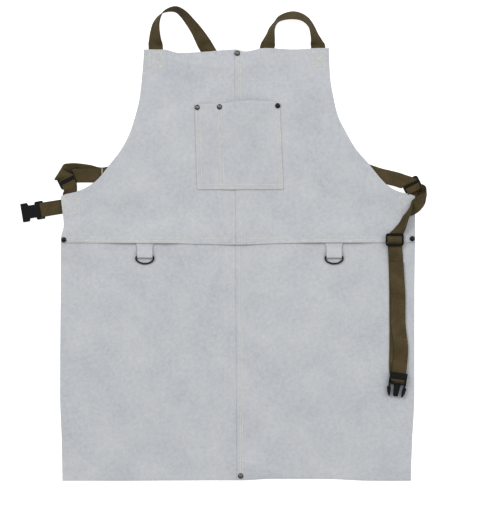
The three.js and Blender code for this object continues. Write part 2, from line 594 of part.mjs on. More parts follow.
// Rivets: a domed cap on the front, a shank through the leather and a flat cap behind
for (const rivet of RIVETS) {
  const { x, y } = rivet;
  const isPocket = rivet.clamps.includes('pocket');
  const top = frontUnder(x, y, RIVET.crownRadius) + LAID_GAP + (isPocket ? LEATHER + LAID_GAP : 0);
  const under = groundUnder(x, y, RIVET.capRadius) - GAP;
  const { capRadius, capEdge, crownRadius, crownHeight, capHeight, backHeight, shank, hole, holeSides } = RIVET;
  const profile = [
    [0, under - backHeight], [capRadius, under - backHeight], [capRadius, under], [shank, under],
    [shank, top], [capRadius, top], [capRadius, top + capEdge],
    [crownRadius, top + crownHeight], [0, top + capHeight],
  ];
  const cap = new THREE.LatheGeometry(profile.map(([r, z]) => new THREE.Vector2(r, z)), RIVET.sides);
  place(rivet.name, cap.rotateX(Math.PI / 2).translate(x, y, 0), RIVET_LOOK);
  const punch = new THREE.CylinderGeometry(hole, hole, THROUGH, holeSides);
  punch.rotateX(Math.PI / 2).translate(x, y, 0);
  for (const name of rivet.clamps) leather[name] = leather[name].subtract(toSolid(punch));
}
for (const [name, solid] of Object.entries(leather)) place(name, toGeometry(solid), LEATHER_LOOK);

// Leather loops: one strip folded round the ring's bar, both ends sewn in under the bib's edge
const skirtUnder = (x, y, reach) => Math.max(...nearby(ground, x, y, reach)) + LEATHER;
const tabFoot = (x) => skirtUnder(x, RING.barY / 2, TAB.reach) + TAB.clearance;
const barLift = TAB.leather + RING.wire / 2 + TAB.clearance;

function tabLoop(x) {
  const outer = barLift;
  const inner = RING.wire / 2 + TAB.clearance;
  const outline = new THREE.Shape();
  outline.moveTo(TAB.topY, 0);
  outline.lineTo(TAB.topY, 2 * TAB.leather);
  outline.lineTo(WAIST_LAP.low - TAB.sewn, 2 * TAB.leather);
  outline.lineTo(RING.barY + TAB.crest, barLift + outer);
  outline.absarc(RING.barY, barLift, outer, Math.PI / 2, 1.5 * Math.PI, false);
  const eye = new THREE.Path();
  eye.moveTo(RING.barY + TAB.eye, TAB.leather + TAB.eyeLip);
  eye.lineTo(RING.barY, TAB.leather);
  eye.absarc(RING.barY, barLift, inner, -Math.PI / 2, Math.PI / 2, true);
  outline.holes.push(eye);
  const depth = TAB.seamWidth;
  const strip = new THREE.ExtrudeGeometry(outline, { depth, bevelEnabled: false, curveSegments: 8 });
  strip.translate(0, 0, -depth / 2);
  const spots = strip.attributes.position;
  for (let i = 0; i < spots.count; i += 1) {
    const down = soften((WAIST_LAP.low - spots.getX(i)) / TAB.taper);
    const scale = THREE.MathUtils.lerp(1, TAB.width / TAB.seamWidth, down);
    spots.setXYZ(i, spots.getZ(i) * scale + x, spots.getX(i), spots.getY(i) + tabFoot(x));
  }
  return strip;
}

// D-ring: a straight bar with a rounded bow, one round wire
function ringWire(x) {
  const half = (RING.width - RING.wire) / 2;
  const round = RING.corner;
  const bow = RING.depth - RING.leg;
  const path = new THREE.Path();
  path.moveTo(half - round, 0);
  path.absarc(half - round, -round, round, Math.PI / 2, 0, true);
  path.absellipse(0, -RING.leg, half, bow, 0, -Math.PI / 2, true);
  path.absellipse(0, -RING.leg, half, bow, -Math.PI / 2, -Math.PI, true);
  path.absarc(round - half, -round, round, Math.PI, Math.PI / 2, true);
  const centre = path.getPoints(RING.arcs);
  const turns = centre.length;
  const barHeight = tabFoot(x) + barLift;
  const floor = skirtUnder(x, RING.barY - RING.depth, RING.reach) + LAID_GAP + RING.wire / 2;
  const droop = Math.asin((barHeight - floor) / RING.depth);
  const spots = [];
  const faces = [];
  centre.forEach((spot, i) => {
    const before = centre[(i + turns - 1) % turns];
    const after = centre[(i + 1) % turns];
    const outward = new THREE.Vector2(after.y - before.y, before.x - after.x).normalize();
    for (let k = 0; k < RING.sides; k += 1) {
      const angle = (2 * Math.PI * k) / RING.sides;
      const reach = (RING.wire / 2) * Math.cos(angle);
      const rise = (RING.wire / 2) * Math.sin(angle);
      const flat = new THREE.Vector3(spot.x + outward.x * reach, spot.y + outward.y * reach, rise);
      flat.applyAxisAngle(new THREE.Vector3(1, 0, 0), droop);
      spots.push(flat.add(new THREE.Vector3(x, RING.barY, barHeight)));
      const next = (i + 1) % turns;
      const turn = (k + 1) % RING.sides;
      const [a, b] = [i * RING.sides + k, i * RING.sides + turn];
      const [c, d] = [next * RING.sides + turn, next * RING.sides + k];
      faces.push(a, c, b, a, d, c);
    }
  });
  const ring = new THREE.BufferGeometry().setFromPoints(spots);
  ring.setIndex(faces);
  return ring;
}

for (const ring of RINGS) {
  place(`dring_tab_${ring.name}`, tabLoop(ring.x), LEATHER_LOOK);
  place(`dring_${ring.name}`, ringWire(ring.x), RING_LOOK);
}

// Webbing: a flat band swept along its route
function band(samples) {
  const spots = samples.map((sample) => {
    const { x, y, width, side } = sample;
    const reach = WEBBING_WIDTH / 2;
    const edges = [-reach, 0, reach].map((t) => front(x + t * width.x, y + t * width.y));
    const rest = Math.max(0, side) * (Math.max(...edges) + LAID_GAP);
    const flat = Math.hypot(width.x, width.y);
    return new THREE.Vector3(x, y, rest + sample.lift + (WEBBING / 2) * flat + reach * Math.abs(width.z));
  });
  const upper = [];
  const lower = [];
  samples.forEach((sample, i) => {
    const from = spots[Math.max(0, i - 1)];
    const to = spots[Math.min(spots.length - 1, i + 1)];
    const along = to.clone().sub(from).normalize();
    const face = sample.width.clone().cross(along).setLength(WEBBING / 2);
    const ends = [-1, 1].map((t) => spots[i].clone().addScaledVector(sample.width, (t * WEBBING_WIDTH) / 2));
    upper.push(ends.map((point) => point.clone().add(face)));
    lower.push(ends.map((point) => point.clone().sub(face)));
  });
  const solid = toSolid(gridSolid(upper, lower));
  return solid.volume() > 0 ? solid : toSolid(gridSolid(lower, upper));
}

const bands = Object.fromEntries(Object.entries(routes).map(([name, samples]) => [name, band(samples)]));
bands.shoulder_strap_right = bands.shoulder_strap_right.add(bands.shoulder_strap_tail);
delete bands.shoulder_strap_tail;
for (const [name, solid] of Object.entries(bands)) place(name, toGeometry(solid), WEBBING_LOOK);

// Three-bar slides: a flat rounded frame with two slots
function roundedRectangle(target, halfX, halfY, radius) {
  target.moveTo(halfX - radius, -halfY);
  target.absarc(halfX - radius, radius - halfY, radius, -Math.PI / 2, 0, false);
  target.absarc(halfX - radius, halfY - radius, radius, 0, Math.PI / 2, false);
  target.absarc(radius - halfX, halfY - radius, radius, Math.PI / 2, Math.PI, false);
  target.absarc(radius - halfX, radius - halfY, radius, Math.PI, 1.5 * Math.PI, false);
  target.closePath();
  return target;
}

function slideFrame() {
  const half = SLIDE.middle / 2 + SLIDE.slot + SLIDE.bar;
  const outline = roundedRectangle(new THREE.Shape(), SLIDE.width / 2, half, SLIDE.corner);
  const settings = { depth: SLIDE.thick, bevelEnabled: false, curveSegments: 3 };
  let solid = toSolid(new THREE.ExtrudeGeometry(outline, settings));
  for (const sign of [-1, 1]) {
    const slot = (sign * (SLIDE.middle + SLIDE.slot)) / 2;
    const [low, high] = [slot - SLIDE.slot / 2, slot + SLIDE.slot / 2];
    const reach = SLIDE.slotWidth / 2;
    solid = solid.subtract(block(-reach, reach, low, high, -OVERRUN, SLIDE.thick + OVERRUN));
  }
  return toGeometry(solid);
}

for (const slide of CORNER_SLIDES) {
  const frame = slideFrame().rotateZ(radians(slide.turn)).translate(slide.x, slide.y, slide.bottom);
  place(slide.name, frame, PLASTIC_LOOK);
}
const restAt = (y) => Math.max(...[-1, 0, 1].map((t) => front(WAIST_SLIDE.x + (t * WEBBING_WIDTH) / 2, y)));
const lowRest = restAt(WAIST_SLIDE.y - WAIST_SLIDE.reach);
const highRest = restAt(WAIST_SLIDE.y + WAIST_SLIDE.reach);
const slideSlope = Math.atan2(highRest - lowRest, 2 * WAIST_SLIDE.reach);
const slideRest = Math.max(restAt(WAIST_SLIDE.y), (lowRest + highRest) / 2) + LAID_GAP + WAIST_SLIDE.above;
const waistSlide = slideFrame().rotateX(slideSlope).translate(WAIST_SLIDE.x, WAIST_SLIDE.y, slideRest);
place(WAIST_SLIDE.name, waistSlide, PLASTIC_LOOK);

// Buckle socket: webbing bar, slot, waisted shell with side windows, open mouth
function socketShell() {
  const near = SOCKET_OUTLINE.map(({ along, half }) => new THREE.Vector2(along, -half));
  const far = SOCKET_OUTLINE.map(({ along, half }) => new THREE.Vector2(along, half)).reverse();
  const outline = new THREE.Shape([...near, ...far]);
  let shell = toSolid(new THREE.ExtrudeGeometry(outline, { depth: SOCKET.thick, bevelEnabled: false }));
  for (const cut of Object.values(SOCKET_CUTS)) shell = shell.subtract(slab(cut));
  return toGeometry(shell);
}
const socket = socketShell().rotateZ(radians(SOCKET.turn)).translate(SOCKET.x, SOCKET.y, SOCKET.bottom);
place('buckle_female', socket, PLASTIC_LOOK);

// Buckle plug: frame with a keeper over the webbing, an anchor bar, and three prongs
function plugBody() {
  let body = slab(PLUG_BODY);
  for (const cut of Object.values(PLUG_CUTS)) body = body.subtract(slab(cut));
  for (const bar of Object.values(PLUG_BARS)) body = body.add(slab(bar));
  for (const sign of [-1, 1]) {
    const spots = PRONG_OUTLINE.map(({ along, aside }) => new THREE.Vector2(along, sign * aside));
    const arm = new THREE.ExtrudeGeometry(new THREE.Shape(spots), { depth: PRONG.thick, bevelEnabled: false });
    body = body.add(toSolid(arm.translate(0, 0, PRONG.low)));
  }
  return toGeometry(body);
}
const plugRest = frontUnder(PLUG.x, PLUG.y, PLUG.reach) + LAID_GAP;
place('buckle_male', plugBody().rotateZ(radians(PLUG.turn)).translate(PLUG.x, PLUG.y, plugRest), PLASTIC_LOOK);

// The origin is on the floor under the middle of the apron's outline
const box = new THREE.Box3().setFromObject(apron);
const middle = box.getCenter(new THREE.Vector3());
apron.position.set(-middle.x, -middle.y, -box.min.z);
apron.updateMatrixWorld(true);

export default apron;
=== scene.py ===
# Leather bib apron with cross-back webbing straps, laid flat with its front up.
# Sizes are in millimetres on the apron's own plan, and each mesh is set in metres in the frame.
# Colours are linear, and turns and slopes in the tables are in degrees.
import math

import bpy
import numpy as np
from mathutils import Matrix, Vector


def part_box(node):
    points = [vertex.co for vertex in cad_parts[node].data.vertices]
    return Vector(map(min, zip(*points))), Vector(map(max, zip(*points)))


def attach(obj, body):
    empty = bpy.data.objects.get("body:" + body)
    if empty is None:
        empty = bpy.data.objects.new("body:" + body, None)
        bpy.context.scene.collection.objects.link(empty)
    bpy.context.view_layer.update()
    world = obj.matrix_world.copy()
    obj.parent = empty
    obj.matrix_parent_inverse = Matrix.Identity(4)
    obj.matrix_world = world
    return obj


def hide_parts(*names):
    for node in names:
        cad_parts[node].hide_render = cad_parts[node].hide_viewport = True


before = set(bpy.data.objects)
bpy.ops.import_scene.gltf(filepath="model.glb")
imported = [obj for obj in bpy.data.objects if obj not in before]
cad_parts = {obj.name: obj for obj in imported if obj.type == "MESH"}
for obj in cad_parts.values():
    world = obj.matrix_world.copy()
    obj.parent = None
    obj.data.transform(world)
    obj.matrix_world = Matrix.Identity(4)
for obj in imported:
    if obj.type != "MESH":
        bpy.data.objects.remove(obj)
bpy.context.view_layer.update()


# Shoulder straps: two lengths of one-inch woven webbing, sewn behind the bib's top corners.
# Each loops up, turns over and runs behind the bib to a slide at the far side; the right one
# has its end turned back and bar-tacked to itself.
MM = 1000  # millimetres in a metre
WEBBING_WIDTH, WEBBING = 25.4, 1.6
ROUTE_STEP, ROUTE_TWIST, ROUTE_LEAST = 2.5, 4.0, 3

RIVET_HEM = (2, -411)
rivet_low, rivet_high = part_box("rivet_hem")
HOME = np.array([(rivet_low.x + rivet_high.x) * MM / 2 - RIVET_HEM[0],
                 (rivet_low.y + rivet_high.y) * MM / 2 - RIVET_HEM[1], 0])

# columns: x, y, lift of the lower edge, plan direction of the width, its slope, and the side of the
# leather it lies on: -1 behind, 0 clear of it, 1 in front
SHOULDER_LEFT = [
    (-147, 301, 0, 0, 0, -1), (-147, 341, 0, 0, 0, -1), (-148, 354, 0, 0, 32, 0),
    (-148, 369, 0, 0, 50, 0), (-145, 385, 0, -15, 66, 0), (-133.5, 401.5, 0, -50, 90, 0),
    (-113, 407, 0, -90, 110, 0), (-101, 400.8, 0, -125, 119, 0), (-86.8, 385, 0, -148, 128, 0),
    (-75, 369, 0, -152, 140, 0), (-64.8, 352, 0, -151, 160, 0), (-58.3, 341, 0, -150, 180, -1),
    (-24, 287, 0, -142, 180, -1), (22, 238, 0, -132, 180, -1), (89, 189, 0, -121, 180, -1),
    (168, 147, 0, -113, 180, -1), (240, 118, 0, -104.5, 180, -1), (262, 112.3, 2.5, -105, 180, 0),
    (277, 108.4, 7.6, -109, 180, 0), (289, 104.3, 8.5, -118, 180, 0), (296.8, 103.6, 8.2, -142, 180, 0),
    (299.8, 103.7, 7.4, -154, 180, 0), (300.4, 102.2, 5, -154, 180, 0), (300.7, 101.6, 2.6, -154, 180, 0),
    (303.1, 96.7, 2.1, -154, 180, 0),
]
SHOULDER_RIGHT = [
    (138, 303, 0, 180, 0, -1), (138, 342, 0, 180, 0, -1), (135.5, 352, 0, 181, 36, 0),
    (131, 364, 0, 184, 58, 0), (126, 377, 0, 196, 66, 0), (114, 390.5, 0, 228, 61, 0),
    (95, 396.5, 0, 270, 55, 0), (73, 391.5, 0, 312, 64, 0), (63.5, 383.5, 0, 330, 77, 0),
    (57, 373, 0, 340, 68, 0), (54.3, 361, 0, 345, 54, 0), (51.4, 351, 0, 348, 32, 0),
    (49, 342, 0, 350, 0, -1), (39, 304, 0.4, 338, 0, -1), (18, 271, 2, 322, 0, -1),
    (-20, 233, 2, 309, 0, -1), (-87, 187, 0, 300, 0, -1), (-166, 147, 0, 292, 0, -1),
    (-238, 117.5, 0, 276, 0, -1), (-262, 122.5, 0, 270, -22, 0), (-284, 127.4, 0, 266, -42, 0),
    (-300, 128, 0, 260, -46, 0), (-309.2, 125.8, 1, 252, -32, 0), (-314.8, 122.6, 4.6, 243, -10, 0),
    (-316.8, 119.8, 9.6, 236, 6, 0), (-315.6, 117, 9, 227, 16, 0), (-310.8, 114.2, 8, 216, 12, 0),
    (-305.6, 113.6, 7.9, 206, 0, 0), (-304.2, 111, 7.4, 206, 0, 0), (-303.6, 109.9, 5, 206, 0, 0),
    (-303.3, 109.2, 2.6, 206, 0, 0), (-300.4, 103.2, 2.1, 206, 0, 0),
]
SHOULDER_TAIL = [
    (-291, 115.2, 3, 294, 0, 0), (-287, 115.2, 7.2, 287, -12, 0), (-279, 115.4, 6.8, 276, -18, 0),
    (-262, 115.7, 4.6, 270, -14, 0), (-248, 115.8, 3, 270, -7, 0), (-242, 115.8, 1.7, 270, 0, -1),
    (-234, 115.6, 1.6, 270, 0, -1),
]


def ease(t):
    """A smooth step from 0 to 1."""
    t = np.clip(t, 0, 1)
    return t * t * (3 - 2 * t)


def plateau(distance, flat, fade):
    """1 out to a distance, then easing down to 0."""
    return 1 - ease((distance - flat) / fade)


def column_at(keys, values, at):
    """Smooth curve through a table's column that never passes its neighbouring values."""
    keys, values, at = (np.asarray(v, float) for v in (keys, values, at))
    if keys[0] > keys[-1]:
        keys, values = keys[::-1], values[::-1]
    chord = np.diff(values) / np.diff(keys)
    slope = np.zeros(len(keys))
    same = chord[:-1] * chord[1:] > 0
    slope[1:-1][same] = 2 * chord[:-1][same] * chord[1:][same] / (chord[:-1] + chord[1:])[same]
    i = np.clip(np.searchsorted(keys, at) - 1, 0, len(keys) - 2)
    span = keys[i + 1] - keys[i]
    t = np.clip((at - keys[i]) / span, 0, 1)
    start = (1 + 2 * t) * (1 - t) ** 2 * values[i] + t * (1 - t) ** 2 * slope[i] * span
    return start + t * t * (3 - 2 * t) * values[i + 1] + t * t * (t - 1) * slope[i + 1] * span


def unit(vectors):
    return vectors / np.linalg.norm(vectors, axis=1)[:, None]


def run_along(line):
    """Distance from a line's start to each of its points."""
    return np.concatenate([[0], np.cumsum(np.linalg.norm(np.diff(line, axis=0), axis=1))])


def strap_route(rows):
    """Close samples along a strap's table: plan place, lift, side and direction of the width."""
    rows = np.array(rows, float)
    last = len(rows) - 1
    at = []
    for i in range(last):
        length = math.dist(rows[i, :3], rows[i + 1, :3])
        twist = max(abs(rows[i + 1, k] - rows[i, k]) for k in (3, 4))
        steps = max(ROUTE_LEAST, round(length / ROUTE_STEP), round(twist / ROUTE_TWIST))
        at.extend(i + k / steps for k in range(steps))
    at = np.array(at + [last], float)
    spots = np.vstack([2 * rows[0, :2] - rows[1, :2], rows[:, :2], 2 * rows[-1, :2] - rows[-2, :2]])
    i = np.minimum(at.astype(int), last - 1)
    t = (at - i)[:, None]
    p0, p1, p2, p3 = (spots[i + k] for k in range(4))
    d0, d1, d2 = (np.sqrt(np.linalg.norm(b - a, axis=1))[:, None]
                  for a, b in ((p0, p1), (p1, p2), (p2, p3)))
    leave = ((p1 - p0) / d0 - (p2 - p0) / (d0 + d1) + (p2 - p1) / d1) * d1
    reach = ((p2 - p1) / d1 - (p3 - p1) / (d1 + d2) + (p3 - p2) / d2) * d1
    bend = (3 * (p2 - p1) - 2 * leave - reach) * t ** 2 + (2 * (p1 - p2) + leave + reach) * t ** 3
    plan = p1 + leave * t + bend
    lift, across, tilt, side = (column_at(np.arange(last + 1), rows[:, k], at) for k in (2, 3, 4, 5))
    across, tilt = np.radians(across), np.radians(tilt)
    width = np.stack([np.cos(tilt) * np.cos(across), np.cos(tilt) * np.sin(across), np.sin(tilt)], 1)
    return {"plan": plan, "lift": lift, "side": side, "width": width}


def make_piece(name, points, faces, uvs=None):
    """A mesh piece from points in millimetres on the apron's plan."""
    mesh = bpy.data.meshes.new(name)
    mesh.from_pydata(((np.asarray(points, float) + HOME) / MM).tolist(), [], faces)
    if uvs is not None:
        layer = mesh.uv_layers.new(name="lay")
        index = np.zeros(len(mesh.loops), np.int32)
        mesh.loops.foreach_get("vertex_index", index)
        layer.data.foreach_set("uv", np.asarray(uvs, np.float32)[index].ravel())
    mesh.update()
    mesh.shade_smooth()
    piece = bpy.data.objects.new(name, mesh)
    bpy.context.scene.collection.objects.link(piece)
    return piece


def turned_out(points, faces):
    """The faces, reversed if they look inwards."""
    points = np.asarray(points, float)
    volume = sum(float(np.dot(points[face[0]], np.cross(points[face[k]], points[face[k + 1]])))
                 for face in faces for k in range(1, len(face) - 1))
    return faces if volume > 0 else [face[::-1] for face in faces]


def ring_faces(rows, around, start=0, closed=False):
    """Faces between rows of points, each row once round a strip, a wire, a cap or a stitch."""
    corners = ((0, 0), (0, 1), (1, 1), (1, 0))
    return [[start + (i + ahead) % rows * around + (j + aside) % around for ahead, aside in corners]
            for i in range(rows if closed else rows - 1) for j in range(around)]


def strip_faces(rows, around):
    """Faces of a flat strip, with both of its ends closed."""
    faces = ring_faces(rows, around)
    last = (rows - 1) * around
    for j in range(around // 2 - 1):
        faces.append([j, around - 1 - j, around - 2 - j, j + 1])
        faces.append([last + j + 1, last + around - 2 - j, last + around - 1 - j, last + j])
    return faces


def circle(sides):
    turn = np.linspace(0, 2 * math.pi, sides, endpoint=False)
    return np.column_stack([np.cos(turn), np.sin(turn)])


def sweep(centre, side, up, section):
    """Points of a section carried along a line, in each row's own two directions."""
    t, h = np.asarray(section, float).T[:, :, None]
    return (centre[:, None] + side[:, None] * t + up[:, None] * h).reshape(-1, 3)


def joined(*solids):
    """The points and faces of several closed forms as one."""
    points, faces = [], []
    for spots, polygons in solids:
        faces.extend([v + len(points) for v in polygon] for polygon in polygons)
        points.extend(spots.tolist())
    return np.array(points), faces


def tipped(points, angle):
    """Points turned about the x axis, by radians."""
    c, s = math.cos(angle), math.sin(angle)
    return points @ np.array([[1, 0, 0], [0, c, s], [0, -s, c]])


# across the webbing: place from edge to edge, and how thick it is there
SELVEDGE = [(-1, 0.45), (-0.985, 0.8), (-0.94, 1), (-0.62, 0.97), (-0.3, 1), (0, 0.97), (0.3, 1),
            (0.62, 0.97), (0.94, 1), (0.985, 0.8), (1, 0.45)]
SECTION = SELVEDGE + [(t, -h) for t, h in reversed(SELVEDGE)]


def strap_frames(course, rest=0.0):
    """Centre line, face direction and run length of a strap."""
    width = course["width"]
    standing = (WEBBING * np.hypot(width[:, 0], width[:, 1]) + WEBBING_WIDTH * np.abs(width[:, 2])) / 2
    centre = np.column_stack([course["plan"], course["lift"] + rest + standing])
    along = np.vstack([centre[1] - centre[0], centre[2:] - centre[:-2], centre[-1] - centre[-2]])
    return centre, unit(np.cross(width, along)), run_along(centre)


def webbing_band(courses, rests):
    """Points, faces and weave coordinates of one or more bands, each a closed flat ribbon."""
    bands, uvs = [], []
    for course, rest in zip(courses, rests):
        centre, face, run = strap_frames(course, rest)
        points = sweep(centre, course["width"] * (WEBBING_WIDTH / 2), face * (WEBBING / 2), SECTION)
        bands.append((points, turned_out(points, strip_faces(len(centre), len(SECTION)))))
        uvs.extend((t * WEBBING_WIDTH / 2, along) for along in run for t, _ in SECTION)
    return *joined(*bands), uvs


def new_group(name, outputs):
    """A shader node group that takes a Vector and gives the named outputs."""
    group = bpy.data.node_groups.new(name, "ShaderNodeTree")
    group.interface.new_socket("Vector", in_out="INPUT", socket_type="NodeSocketVector")
    for label in outputs:
        group.interface.new_socket(label, in_out="OUTPUT", socket_type="NodeSocketFloat")
    return group, group.nodes.new("NodeGroupInput").outputs["Vector"], group.nodes.new("NodeGroupOutput")


def math_node(tree, operation, *values):
    node = tree.nodes.new("ShaderNodeMath")
    node.operation = operation
    for socket, value in zip(node.inputs, values):
        if isinstance(value, (int, float)):
            socket.default_value = value
        else:
            tree.links.new(value, socket)
    return node.outputs[0]


def weighted_sum(tree, *terms):
    """The sum of values, each times its weight."""
    total = 0.0
    for value, weight in terms:
        total = math_node(tree, "MULTIPLY_ADD", value, weight, total)
    return total


def group_node(tree, group, vector):
    node = tree.nodes.new("ShaderNodeGroup")
    node.node_tree = group
    tree.links.new(vector, node.inputs["Vector"])
    return node.outputs


def noise_node(tree, vector, scale, detail=2.0, roughness=0.5):
    node = tree.nodes.new("ShaderNodeTexNoise")
    node.inputs["Scale"].default_value = scale
    node.inputs["Detail"].default_value = detail
    node.inputs["Roughness"].default_value = roughness
    tree.links.new(vector, node.inputs["Vector"])
    return node.outputs["Fac"]


def ramp_node(tree, value, stops):
    node = tree.nodes.new("ShaderNodeValToRGB")
    while len(node.color_ramp.elements) < len(stops):
        node.color_ramp.elements.new(0.5)
    for element, (place, colour) in zip(node.color_ramp.elements, stops):
        element.position = place
        element.color = (*colour, 1)
    tree.links.new(value, node.inputs["Fac"])
    return node.outputs["Color"]


def new_material(name, roughness, **sockets):
    """A material with its Principled shader, and constant values set on the shader's own sockets."""
    material = bpy.data.materials.new(name)
    material.use_nodes = True
    shader = material.node_tree.nodes["Principled BSDF"]
    shader.inputs["Roughness"].default_value = roughness
    for label, value in sockets.items():
        shader.inputs[label.replace("_", " ")].default_value = value
    return material, material.node_tree, shader


def add_bump(tree, shader, height, distance, strength=1.0):
    node = tree.nodes.new("ShaderNodeBump")
    node.inputs["Distance"].default_value = distance
    node.inputs["Strength"].default_value = strength
    tree.links.new(height, node.inputs["Height"])
    tree.links.new(node.outputs["Normal"], shader.inputs["Normal"])


# Weave of the webbing, in millimetres across and along: lengthwise ribs, each crossed by picks that
# sit half a step apart from rib to rib. The yarns are slubbed and the whole is unevenly faded, and the
# tone also carries painted shade, darker between the ribs and in the dips of the picks.
RIB, PICK, PICK_DIP, GROOVE_SHADE = 1.15, 2.1, 0.3, 0.45
# columns: scale, detail, share of the tone
WEAVE_NOISES = [(0.35, 3, 0.5), (3.1, 2, 0.25), (0.04, 2, 0.7)]
WEAVE_LEVEL = -0.35
weave, weave_vector, weave_out = new_group("ribbed_weave", ("Tone", "Height"))
split = weave.nodes.new("ShaderNodeSeparateXYZ")
weave.links.new(weave_vector, split.inputs[0])
rib_place = math_node(weave, "DIVIDE", split.outputs["X"], RIB)
rib_aside = math_node(weave, "MULTIPLY_ADD", math_node(weave, "FRACT", rib_place), 2.0, -1.0)
rib_crown = math_node(weave, "SUBTRACT", 1.0, math_node(weave, "MULTIPLY", rib_aside, rib_aside))
rib_odd = math_node(weave, "FLOORED_MODULO", math_node(weave, "FLOOR", rib_place), 2.0)
pick_row = math_node(weave, "DIVIDE", split.outputs["Y"], PICK)
pick_place = math_node(weave, "MULTIPLY_ADD", rib_odd, 0.5, pick_row)
pick_wave = math_node(weave, "COSINE", math_node(weave, "MULTIPLY", pick_place, 2 * math.pi))
pick_height = math_node(weave, "MULTIPLY_ADD", pick_wave, PICK_DIP, 1 - PICK_DIP)
yarn_height = math_node(weave, "MULTIPLY", rib_crown, pick_height)
noises = [(noise_node(weave, weave_vector, scale, detail), share)
          for scale, detail, share in WEAVE_NOISES]
# tone: painted shade from the yarns' relief, darker in the grooves, plus the slubs and the fading
tone = weighted_sum(weave, (yarn_height, GROOVE_SHADE), *noises)
weave.links.new(math_node(weave, "ADD", tone, WEAVE_LEVEL), weave_out.inputs["Tone"])
weave.links.new(yarn_height, weave_out.inputs["Height"])

WEBBING_STOPS = [(0.12, (0.023, 0.0162, 0.007)), (0.5, (0.049, 0.036, 0.0162)),
                 (0.95, (0.091, 0.069, 0.033))]
WEBBING_BUMP = (0.0003, 0.8)
webbing, tree, shader = new_material("olive_brown_webbing", 0.82, Sheen_Weight=0.01, Sheen_Roughness=0.5,
                                     Specular_IOR_Level=0.08)
lay = tree.nodes.new("ShaderNodeUVMap")
lay.uv_map = "lay"
woven = group_node(tree, weave, lay.outputs["UV"])
tree.links.new(ramp_node(tree, woven["Tone"], WEBBING_STOPS), shader.inputs["Base Color"])
add_bump(tree, shader, woven["Height"], *WEBBING_BUMP)


def make_strap(name, node, courses, rests=(0.0, 0.0)):
    """A webbing strap in place of its solid."""
    piece = make_piece(name, *webbing_band(courses, rests))
    piece.data.materials.append(webbing)
    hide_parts(node)
    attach(piece, "apron")


shoulder_left = strap_route(SHOULDER_LEFT)
shoulder_right = strap_route(SHOULDER_RIGHT)
shoulder_tail = strap_route(SHOULDER_TAIL)
make_strap("shoulder_webbing_left", "shoulder_strap_left", [shoulder_left])
make_strap("shoulder_webbing_right", "shoulder_strap_right", [shoulder_right, shoulder_tail])


# Corner straps: short ends of the same webbing, sewn behind the armhole corners of the bib.
# Each comes out over the lower bar of its slide and turns down round the middle bar.
CORNER_LEFT = [
    (-297.6, 50, 1.9, 0, 0, -1), (-297.8, 82, 1.9, 4, 0, -1), (-297, 89, 4, 15, 0, 0),
    (-296.5, 95.3, 7.7, 26, 0, 0), (-298.5, 99.3, 7.7, 26, 0, 0), (-299.8, 102, 7.3, 26, 0, 0),
    (-300.5, 103.5, 5.6, 26, 0, 0), (-300.55, 103.55, 4.3, 26, 0, 0),
]
CORNER_RIGHT = [
    (296, 52, 1.9, 8, 0, -1), (301.5, 84, 1.9, 12, 0, -1), (305.4, 86, 4.8, 18, 0, 0),
    (307, 88.7, 7.8, 26, 0, 0), (305.1, 92.6, 7.8, 26, 0, 0), (303.8, 95.3, 7.4, 26, 0, 0),
    (302.75, 97.45, 5.6, 26, 0, 0), (302.7, 97.55, 4.3, 26, 0, 0),
]
corner_left = strap_route(CORNER_LEFT)
corner_right = strap_route(CORNER_RIGHT)
make_strap("corner_webbing_left", "corner_strap_left", [corner_left])
make_strap("corner_webbing_right", "corner_strap_right", [corner_right])


# Left waist strap: a short end of webbing sewn behind the bib's side, through the slot of the
# buckle's socket and back on itself underneath.
WAIST_LEFT = [
    (-282, 62.5, 0, 90, 0, -1), (-312, 61, 0, 94, 0, -1), (-322, 59.5, 1.1, 98, 0, 0),
    (-332, 57.9, 3.6, 99, 0, 0), (-341, 56.4, 6.2, 99, 0, 0), (-347, 55.4, 6.2, 99, 0, 0),
    (-350.4, 54.8, 3.4, 99, 0, 0), (-347, 55.4, 0.4, 99, 0, 0), (-341, 56.4, 0.2, 99, 0, 0),
    (-331, 58.1, 0.2, 99, 0, 0),
]
waist_left = strap_route(WAIST_LEFT)
make_strap("waist_webbing_left", "waist_strap_left", [waist_left])


# Bib and skirt: four panels of light grey split cowhide with a short suede nap, cut with a raw edge.
# The right halves lap over the left at a centre seam, and the bib laps over the skirt at the waist.
LEATHER, GAP, LAID_GAP = 1.5, 0.3, 0.5
LAYER = LEATHER + GAP
TOP_Y, HEM_Y = 338, -420
WAIST_LOW, WAIST_HIGH = -2, 12
SEAM_LAP, SEAM_TOP_X, SEAM_HEM_X = 11, -3, 1
SOFTEN, DRAPE_FLAT = 34, 36
RIVET_LIFT, RIVET_FLAT = 2.1, 21
WAVE_DEPTH, WAIST_WAVE_DEPTH = 70, 40
PANEL_STEP = 3.6
EDGE_STEPS, EDGE_ROUND, BACK_ROUND = (0, 0.3, 0.8, 1.8), 0.42, 0.6
SKIVE, SKIVE_REACH = 0.75, 5
LIP, LIP_DEPTH, LIP_END = 0.7, 6, 225

# columns: height, left edge, right edge
EDGES = np.array([
    (338, -168, 157), (290, -171, 159), (248, -176, 166), (220, -183, 173), (192, -192, 187),
    (164, -206, 203), (136, -227, 227), (108, -250, 250), (96, -267, 263), (87, -287, 281),
    (80, -313, 308), (28, -308.4, 308), (5, -313, 308), (-100, -314, 307), (-268, -315, 307),
    (-352, -312, 303), (-420, -311, 301),
], float)
TOP_WAVE = np.array([(-168, -1), (-134, -1), (-105, -7), (-61, -5), (-6, -1), (10, -4.5), (45, 1.5),
                     (97, -1), (141, 1.5), (157, 1.5)])
HEM_WAVE = np.array([(-315, 0), (0, 1), (60, 3.5), (150, 3.5), (230, 0), (308, 0)])
WAIST_WAVE = np.array([(-315, -0.5), (-130, -1.2), (-6, -3.8), (75, -1.2), (150, 0), (308, 0)])
# columns: wavelength across, wavelength along, phase
SWAY, SWAYS = 0.09, [(37, 61, 0.8), (53, -41, 2.1)]
